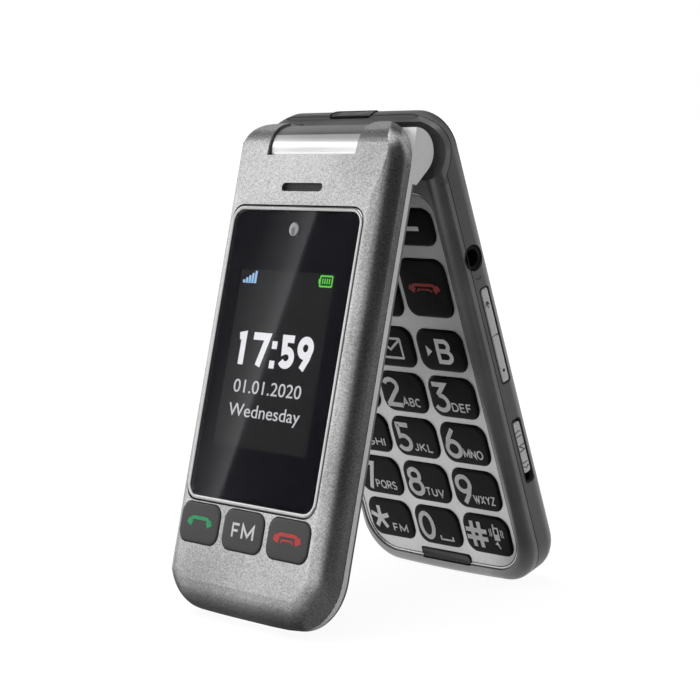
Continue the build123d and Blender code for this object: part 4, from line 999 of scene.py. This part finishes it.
# %% [markdown]
# The other keys carry signs: bars on the soft keys, arrows round the middle key, an envelope,
# two memory letters with a pointer, and a handset in green and in red. They are short lists of strokes,
# with x from the middle of the column and y from the hinge.

# %% Signs on the other keys
NAV_Y, END_Y = keys["key_nav"][1], keys["key_end"][1]
BAR = [(-2.7, -17.2), (2.7, -17.2)], 0.95
POINTER_PEN = 2.5, 0.05
signs = {
    "key_soft_left": drawn(-COLUMN, 0, BAR), "key_soft_right": drawn(COLUMN, 0, BAR),
    "key_nav": drawn(0, 0, ([(-1.6, -15.6), (0, -14.4), (1.6, -15.6)], 0.5),
                     ([(-1.6, -34.4), (0, -35.6), (1.6, -34.4)], 0.5),
                     (rounded(7.4, 9.4, 2.2)[0] + [0, NAV_Y], 0.3, True)),
    "key_a": figure("A", 1.35 - COLUMN, -FIRST_ROW, 4.4, 5.7, 1.0)
    + drawn(-COLUMN, -44.6, ([(-3.9, 0), (-2.3, 0)], POINTER_PEN)),
    "key_b": figure("B", COLUMN + 1.15, -FIRST_ROW, 4.3, 5.7, 1.0)
    + drawn(COLUMN, -44.7, ([(-3.9, 0), (-2.3, 0)], POINTER_PEN)),
    "key_message": drawn(0, 0, (rounded(6.6, 4.5, 0.15, 2, 1)[0] + [0, -44.75], 0.55, True),
                         ([(-3.2, -42.7), (0, -45.1), (3.2, -42.7)], 0.55)),
}
for name, parts in signs.items():
    print_on_key(name, parts)
print_on_key("key_send", handset(-COLUMN, END_Y + 0.2, 8.6, 2.1), green_ink)
hook = drawn(COLUMN, END_Y, ([(-2.1, -0.62), (-1.6, -0.12), (1.6, -0.12), (2.1, -0.62)], 0.34))
print_on_key("key_end", [*handset(COLUMN, END_Y + 0.25, 9.0, 2.0), *hook], dim_red_ink)
print("signs printed:", [*signs, "key_send", "key_end"])

# %% [markdown]
# The lid's buttons repeat the handsets, larger and brighter, for calls that are taken with the phone shut.
# The middle one is the radio's. The crown of each button is the surface that the strokes are laid on.

# %% Signs on the lid's buttons
hook = drawn(BUTTON_PITCH, 0, ([(-1.8, -80.45), (-1.4, -79.95), (1.4, -79.95), (1.8, -80.45)], 0.34))
lid_signs = {
    "lid_send": (handset(0.25 - BUTTON_PITCH, -79.45, 7.6, 2.1), green_ink),
    "lid_end": ([*handset(BUTTON_PITCH, -79.5, 8.0, 2.1), *hook], red_ink),
    "lid_fm": (capitals("FM", -3.1, 3.7, -81.5, 3.2, 0.52), white_ink),
}
for name, (parts, ink) in lid_signs.items():
    button = name + "_button"
    crown = over_crown(buttons[button], BUTTON_PLACE, BUTTON_WIDTH, BUTTON_HEIGHT, BUTTON_EDGE, BUTTON_CROWN)
    piece("legend_" + name, [laid(parts, crown)], "lid", button, ink)
print("lid buttons printed:", list(lid_signs))

# %% [markdown]
# Behind the glass a black mask is printed on its back, with an opening for the lit display.
# The picture is light: a dark grey ground, the time in heavy figures, the date and the day,
# and two small signs. Each glows evenly but for the fine grid of the display's cells.

# %% Glowing cells
CELL = 0.23


def lit(name, colour, strength):
    """A glow seen through square cells: the colour dips on the thin lines between them."""
    made, tree = blank(name)
    cells = put(tree, "TexBrick", put(tree, "UVMap", uv_map="flat"), offset=0.0, Scale=1.0 / CELL,
                Color1=rgba(colour), Color2=rgba(colour, 0.97), Mortar=rgba(colour, 0.72), Mortar_Size=0.05,
                Brick_Width=1.0, Row_Height=1.0)
    return principled(made, tree, Emission_Color=cells, Emission_Strength=strength, Roughness=0.4,
                      Base_Color=rgba(grey(0.004)), Specular_IOR_Level=0.1)


ground_glow = lit("display_ground", grey(0.011), 1.0)
white_glow = lit("display_white", (1.0, 1.0, 1.0), 1.05)
soft_glow = lit("display_soft_white", (0.72, 0.72, 0.72), 1.0)
blue_glow = lit("display_blue", (0.42, 0.68, 0.98), 1.0)
green_glow = lit("display_green", (0.16, 0.80, 0.10), 1.0)
print("the display's cells are", CELL, "mm wide")

# %% [markdown]
# The ground is a thin sheet, and the rest stands a hundredth of a millimetre over it.
# SHIFT moves all that is on it to the right.

# %% The lit picture
PICTURE_MIDDLE, PICTURE_SIZE = (-0.25, -44.8), (28.7, 36.8)
PICTURE_BACK, PICTURE_FACE, PICTURE_PROUD, SHIFT = 6.202, 6.215, 0.01, 0.7


def sheet(size, radius, middle, low, high):
    """A thin rounded sheet: rings of its outline from the middle of one face, over the edge, to the other."""
    flat = rounded(*size, radius)[0]
    return skin(stacked([flat * share + np.array(middle) for share in (0.0, 0.5, 1.0, 1.0, 0.5, 0.0)],
                        [low] * 3 + [high] * 3))


def on_display(x, y):
    """Level of the picture's face."""
    return PICTURE_FACE + PICTURE_PROUD


piece("picture_ground", [sheet(PICTURE_SIZE, 0.3, PICTURE_MIDDLE, PICTURE_BACK, PICTURE_FACE)], "lid", "lid",
      ground_glow)
clock = [("1", -11.2, 4.2), ("7", -5.34, 5.2), ("5", 2.95, 4.7), ("9", 8.2, 4.7)]
time = [stroked for sign, x0, wide in clock for stroked in figure(sign, x0 + SHIFT, -42.75, wide, 6.9, 1.55)]
time += drawn(SHIFT, 0, *(([(-1.2, y0 + 0.8), (-1.2, y0 - 0.8)], 1.5) for y0 in (-41.6, -45.6)))
date = [letters("01.01.2020", -11.7 + SHIFT, 9.0 + SHIFT, -51.95, 2.85),
        letters("Wednesday", -12.1 + SHIFT, 9.8 + SHIFT, -56.85, 2.8)]
signal = drawn(SHIFT - 14.0, 0, *(([(0.88 * n, -29.2), (0.88 * n, 0.48 * n - 28.55)], 0.62)
                                  for n in range(5)))
battery = drawn(SHIFT, 0, (rounded(3.5, 2.1, 0.2, 3, 1)[0] + [10.95, -27.95], 0.34, True),
                ([(8.95, -27.5), (8.95, -28.4)], 0.4),
                *(([(9.95 + 0.66 * n, -27.4), (9.95 + 0.66 * n, -28.5)], 0.3) for n in range(4)))
picture = {"time": (time, white_glow), "date": (date, soft_glow), "signal": (signal, blue_glow),
           "battery": (battery, green_glow)}
for name, (parts, glow) in picture.items():
    piece("picture_" + name, [laid(parts, on_display)], "lid", "lid", glow)
print("picture lit, ground", PICTURE_SIZE, "mm, with", list(picture))

# %% [markdown]
# The black border of each window is paint on the back of the glass. It is a ring between the outline
# of the glass and that of the opening, both with one count of points, so the two are joined cell by cell.

# %% Masks behind the two windows
GLASS, GLASS_CORNER, GLASS_MIDDLE = (38.0, 60.2), 2.5, (0, -44.0)
OPENING_CORNER = 0.4
mask_black = finish("window_mask", (0.0075, 0.0070, 0.0125), (0.0095, 0.0088, 0.0160), (0.5, 0.6), 0.4,
                    0.0005, 12.0, specular=0.1)


def mask(size, radius, middle, opening, opening_middle, low, high):
    """A thin sheet with a rounded opening: a ring between two outlines, closed over its thickness."""
    outer = rounded(*size, radius)[0] + np.array(middle)
    inner = rounded(*opening, OPENING_CORNER)[0] + np.array(opening_middle)
    return skin(stacked([outer, outer, inner, inner], [low, high, high, low], 1), True)


outer_mask = mask((37.6, 59.8), 2.3, GLASS_MIDDLE, PICTURE_SIZE, PICTURE_MIDDLE, 6.235, 6.285)
inner_mask = mask((42.0, 60.0), 1.2, (0, -46.5), (35.0, 47.0), (0, -45.5), -0.485, -0.455)
piece("outer_mask", [outer_mask], "lid", "lid", mask_black)
piece("inner_mask", [inner_mask], "lid", "lid", mask_black)
print("masks made, each", len(outer_mask[0]), "points")

# %% [markdown]
# The bright rim round the glass is a bead: a profile that rises from the glass, rounds over and
# drops into a groove beside the painted shell. Carried along the glass's outline it stands for the
# plain ring of the solid model. The camera's lens is a low dome, turned about its own line of sight.

# %% Rim and lens
LENS_PLACE = (0, -17.7)
rim_profile = [(0.02, 5.55), (0.02, 7.10), (0.12, 7.22), (0.30, 7.33), (0.50, 7.36), (0.68, 7.33),
               (0.84, 7.22), (0.97, 7.02), (1.08, 6.70), (1.08, 5.55)]
outline, ways = rounded(*GLASS, GLASS_CORNER, 12, 6)
rim = piece("window_rim_bead", [carried((outline + np.array(GLASS_MIDDLE), ways), rim_profile)], "lid", "lid",
            rim_metal, 50)
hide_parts("window_rim")


def turned(profile, at, count=48):
    """A solid of revolution about an upright line: (r, z) points turned round, closed at the axis."""
    r, z = np.asarray(profile, float).T
    a = np.linspace(0, 2 * math.pi, count, endpoint=False)[:, None]
    return skin(xyz(at[0] + r * np.cos(a), at[1] + r * np.sin(a), z), True, False)


lens_grey = finish("lens_coating", grey(0.24, -0.02), grey(0.31, -0.02), (0.10, 0.18), 0.5, 0.001, 2.0, 0.2,
                   0.6, 0.6, 0.05)
lens_profile = [(0, 6.0), (1.48, 6.0), (1.48, 7.12), (1.40, 7.19), (1.15, 7.24), (0.8, 7.265), (0.4, 7.28),
                (0, 7.285)]
lens = piece("camera_lens_dome", [turned(lens_profile, LENS_PLACE)], "lid", "lid", lens_grey)
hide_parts("camera_lens")
print("rim and lens made,", len(rim.data.vertices), "and", len(lens.data.vertices), "points")

# %% [markdown]
# Two mouldings never meet without a line, and that line shows mostly by the shade in its hairline gap.
# The seams are thin threads laid on the surface where the shells meet, painted dark as that shadow.
# On the base the line runs level round the foot and the sides, then drops in an arc
# under the hinge. Its height is a function of the place along the phone.

# %% Seams
BASE_OUTLINE = dict(side=25.5, top=5.6, foot=99.5, shoulder=8.0, corner=9.5, bow=0.8)
LID_OUTLINE = dict(side=24.3, top=6.0, foot=97.6, shoulder=9.0, corner=11.5, bow=1.0)
PARTING, ARCH, LID_PARTING = -5.5, 8.6, 1.0
THREAD_PROUD, THREAD_DEEP = 0.012, 0.08
# Painted shadow: the dark of every seam, groove and gap thread stands for the shade inside a narrow gap.
seam_gap_shadow = finish("seam_shadow", 0.004, 0.010, (0.6, 0.7), 0.3, 0.002, 3.0)


def thread(width):
    """A flat section that stands a little proud of the surface and goes a little into it."""
    out, edge = np.array([-THREAD_DEEP, THREAD_PROUD, THREAD_PROUD, -THREAD_DEEP]), width / 2
    return np.stack([out, [-edge, -edge, edge, edge]], 1)


outline = half_outline(**BASE_OUTLINE)
along = outline[0][:, 1]
arch = -np.sqrt(np.maximum(ARCH ** 2 - along ** 2, 0))
drop = np.where(along < -math.sqrt(ARCH ** 2 - PARTING ** 2), PARTING, arch)
piece("base_seam", [carried(outline, thread(0.20), drop)], "base", "base", seam_gap_shadow, 60)
open_run = [np.roll(run, -CORNER_POINTS, 0) for run in half_outline(**LID_OUTLINE)]
piece("lid_seam", [carried(open_run, thread(0.14), LID_PARTING, ring=False)], "lid", "lid", seam_gap_shadow,
      60)
print("base seam from", PARTING, "down to", drop.min().round(2))

# %% [markdown]
# The keypad's silver panel ends in a fine raised lip, and a groove parts it from the bezel; the groove's dark
# is painted shadow, on a flat strip.
# Two sections are carried round the panel's outline, a rounded one for the lip and a flat one beside it.

# %% Lip and groove of the keypad panel
LIP = [(-0.06, -2.5), (-0.06, -2.28), (-0.14, -2.2), (-0.26, -2.18), (-0.38, -2.22), (-0.44, -2.33),
       (-0.44, -2.5)]
GROOVE = [(-0.52, -2.45), (-0.52, -2.338), (-0.68, -2.338), (-0.68, -2.45)]
lip_silver = finish("panel_lip", 0.60, 0.75, (0.22, 0.3), 0.3, 0.004, metallic=0.8)
outline = half_outline(side=23.1, top=-9.4, foot=96.2, shoulder=5.5, corner=8.0, bow=0.4)
piece("panel_lip", [carried(outline, LIP)], "base", "base", lip_silver, 50)
piece("panel_groove", [carried(outline, GROOVE)], "base", "base", seam_gap_shadow, 50)
print("panel edge made,", len(outline[0]), "points round")

# %% [markdown]
# The marks on the side are cut into the plastic: an arrow and a dot on the volume key, three signs on
# the slider, and a small arc under the socket. They are strokes drawn flat and then turned to face sideways.
# A dark line round each control is the gap that it moves in, painted dark as the shadow inside that gap.

# %% Side marks
SIDE, SLIDER_FACE = 25.5, 25.4


def on_side(name, parts, body, material, x=SIDE):
    """Strokes drawn with y along the phone and x across its side, stood on the right-hand face."""
    points, faces = together(parts)
    piece(name, [(xyz(x + points[:, 2], points[:, 1], points[:, 0]), faces)], "base", body, material)


on_side("rocker_marks", drawn(0, 0, ([(-8.5, -36.1), (-7.9, -35.3), (-7.3, -36.1)], 0.22),
                              ([(-7.9, -35.4), (-7.9, -36.7)], 0.22),
                              (arc(-8.0, -50.7, 0.22, 0.22, 0, 350, 12), 0.3, True)),
        "volume_rocker", mark_ink)
slider_lines = [[(-8.6, -64.9), (-7.9, -64.6), (-7.1, -64.9)], [(-8.6, -65.8), (-7.1, -65.8)],
                [(-8.7, -67.8), (-7.2, -68.0), (-8.6, -69.0), (-7.1, -69.2)], [(-8.6, -71.8), (-7.1, -71.8)],
                [(-8.6, -72.6), (-7.9, -73.1), (-7.1, -72.6)]]
on_side("slider_marks", [stroke(line, 0.2) for line in slider_lines], "torch_slider", mark_ink,
        SLIDER_FACE)
gaps = drawn(-7.9, 0, *((rounded(wide, 2.6, 0.7, 6, 6)[0][:, ::-1] + [0, middle], 0.3, True)
                        for wide, middle in ((21.3, -42.8), (14.5, -69.1))))
on_side("side_gaps", [(points * [1, 1, 0.3], faces) for points, faces in gaps], "base", seam_gap_shadow)
on_side("jack_mark", [stroke(arc(-7.2, -29.3, 0.75, 0.75, 200, 340, 14), 0.2)], "base", mark_ink)
print("side marks cut at", SIDE, "mm")

# %% [markdown]
# The torch shines out of the end of the base, over the hinge. Its window is a ribbed bar in a rubber ring.
# The end wall there leans and then rounds over, so both follow its height above the hinge axis: a straight
# slope and then a quarter circle.

# %% Torch window
END_WALL, END_FLAT, BACK_ROUND, BACK = 5.6, -7.6, 3.6, -12.2
SLOPE_FROM = (3.75, -4.16)
TORCH_Z, TORCH_SIZE, TORCH_INSET, TORCH_DEEP = -8.1, (12.0, 2.4), 0.02, 0.9
TORCH_CROWN, RIB, RIB_PITCH, TORCH_POINTS = 0.10, 0.045, 0.8, (109, 9)


def end_wall(z):
    """Height of the end wall at z: the slope from the barrel, then the round towards the back."""
    slope = SLOPE_FROM[0] + (END_WALL - SLOPE_FROM[0]) * (z - SLOPE_FROM[1]) / (END_FLAT - SLOPE_FROM[1])
    under = np.clip(BACK + BACK_ROUND - z, 0, BACK_ROUND)
    rounded_over = END_WALL - BACK_ROUND + np.sqrt(BACK_ROUND ** 2 - under ** 2)
    return np.where(z > END_FLAT, slope, rounded_over)


def on_end(x, across, proud):
    """A piece drawn flat, with its height across the wall and proud of it, stood on the end wall."""
    z = TORCH_Z + across
    return xyz(x, end_wall(z) + proud, z)


outline = rounded(TORCH_SIZE[0] + 0.3, TORCH_SIZE[1] + 0.2, 0.7)
ring_profile = [(-0.12, -0.3), (-0.12, 0.10), (-0.04, 0.19), (0.08, 0.22), (0.20, 0.19), (0.28, 0.08),
                (0.28, -0.3)]
points, faces = carried(outline, ring_profile)
piece("torch_ring", [(on_end(*points.T), faces)], "base", "base", rubber, 50)
u, v = grid(*(np.linspace(-1, 1, count) for count in TORCH_POINTS))
x, across = u * (TORCH_SIZE[0] / 2 - TORCH_INSET), v * (TORCH_SIZE[1] / 2 - TORCH_INSET)
ribs = TORCH_CROWN * (1 - v ** 4) + RIB * np.cos(2 * math.pi * x / RIB_PITCH)
cells = quads(*TORCH_POINTS)
points, faces = together([(on_end(x, across, ribs), cells), (on_end(x, across, -TORCH_DEEP), cells)])
index = np.arange(u.size).reshape(TORCH_POINTS)
edge = np.concatenate([index[0], index[1:, -1], index[-1, -2::-1], index[-2:0:-1, 0]]).tolist()
wall = [[here, after, after + u.size, here + u.size] for here, after in zip(edge, edge[1:] + edge[:1])]
bar = piece("torch_bar", [(points, faces + wall)], "base", "base", torch_clear, 50)
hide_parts("torch_lens")
print("torch window:", len(bar.data.vertices), "points")

# %% [markdown]
# A rubber strip at the keypad's foot keeps the halves apart when the phone is shut.
# Its section is low and rounded, with a shallow channel along the top.

# %% Foot strip
STRIP_PLACE = (0, -95.1)
flat, ways = rounded(15.0, 2.3, 1.1)
rings = [flat * 0.0, flat * [0.95, 0.45], flat * [0.97, 0.62], flat - 0.30 * ways, flat - 0.12 * ways, flat,
         flat, flat * 0.0]
levels = [-2.16, -2.16, -2.06, -2.02, -2.06, -2.25, -3.2, -3.2]
strip = skin(stacked([ring + np.array(STRIP_PLACE) for ring in rings], levels))
made = piece("foot_strip_bead", [strip], "base", "base", strip_black)
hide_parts("foot_strip")
print("foot strip:", len(made.data.vertices), "points")

# %% [markdown]
# The screws of the back have cross recesses. A head is a height over a round patch: flat, rounded at its
# edge, and sunk where the point lies in either arm of the cross.

# %% Screws of the back
HEAD_RADIUS, HEAD_FLAT, HEAD_FACE, SHANK_RADIUS = 1.3, 1.22, -11.8, 0.6
ARM, ARM_DEEP, ARM_REACH = 0.24, 0.42, 0.92
HEAD_RINGS, HEAD_ROUND = 26, 72
SCREWS = (15.5, -94.2), (-15.5, -94.2), (20.0, -11.0), (-20.0, -11.0)


def screw(at):
    """A screw head and shank: rings of a polar grid. z rises into the head where |x| or |y| is under ARM."""
    r = np.append(np.linspace(0, HEAD_FLAT, HEAD_RINGS),
                  [1.27, HEAD_RADIUS, HEAD_RADIUS, SHANK_RADIUS, SHANK_RADIUS, 0.0])[:, None]
    depth = np.append(np.zeros(HEAD_RINGS), [0.03, 0.12, 0.7, 0.7, 4.9, 4.9])[:, None]
    a = np.linspace(0, 2 * math.pi, HEAD_ROUND, endpoint=False)
    x, y = r * np.cos(a), r * np.sin(a)
    arm = np.clip((ARM - np.minimum(np.abs(x), np.abs(y))) / 0.08 + 0.5, 0, 1)
    arm = arm * np.clip((ARM_REACH - r) / 0.1 + 0.5, 0, 1)
    on_head = np.arange(len(r))[:, None] < HEAD_RINGS
    return skin(xyz(x + at[0], y + at[1], HEAD_FACE + depth + np.where(on_head, ARM_DEEP * arm, 0)))


screws = piece("base_screw_heads", [screw(at) for at in SCREWS], "base", "base", steel)
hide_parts("base_screws")
print("screws:", len(screws.data.vertices), "points")
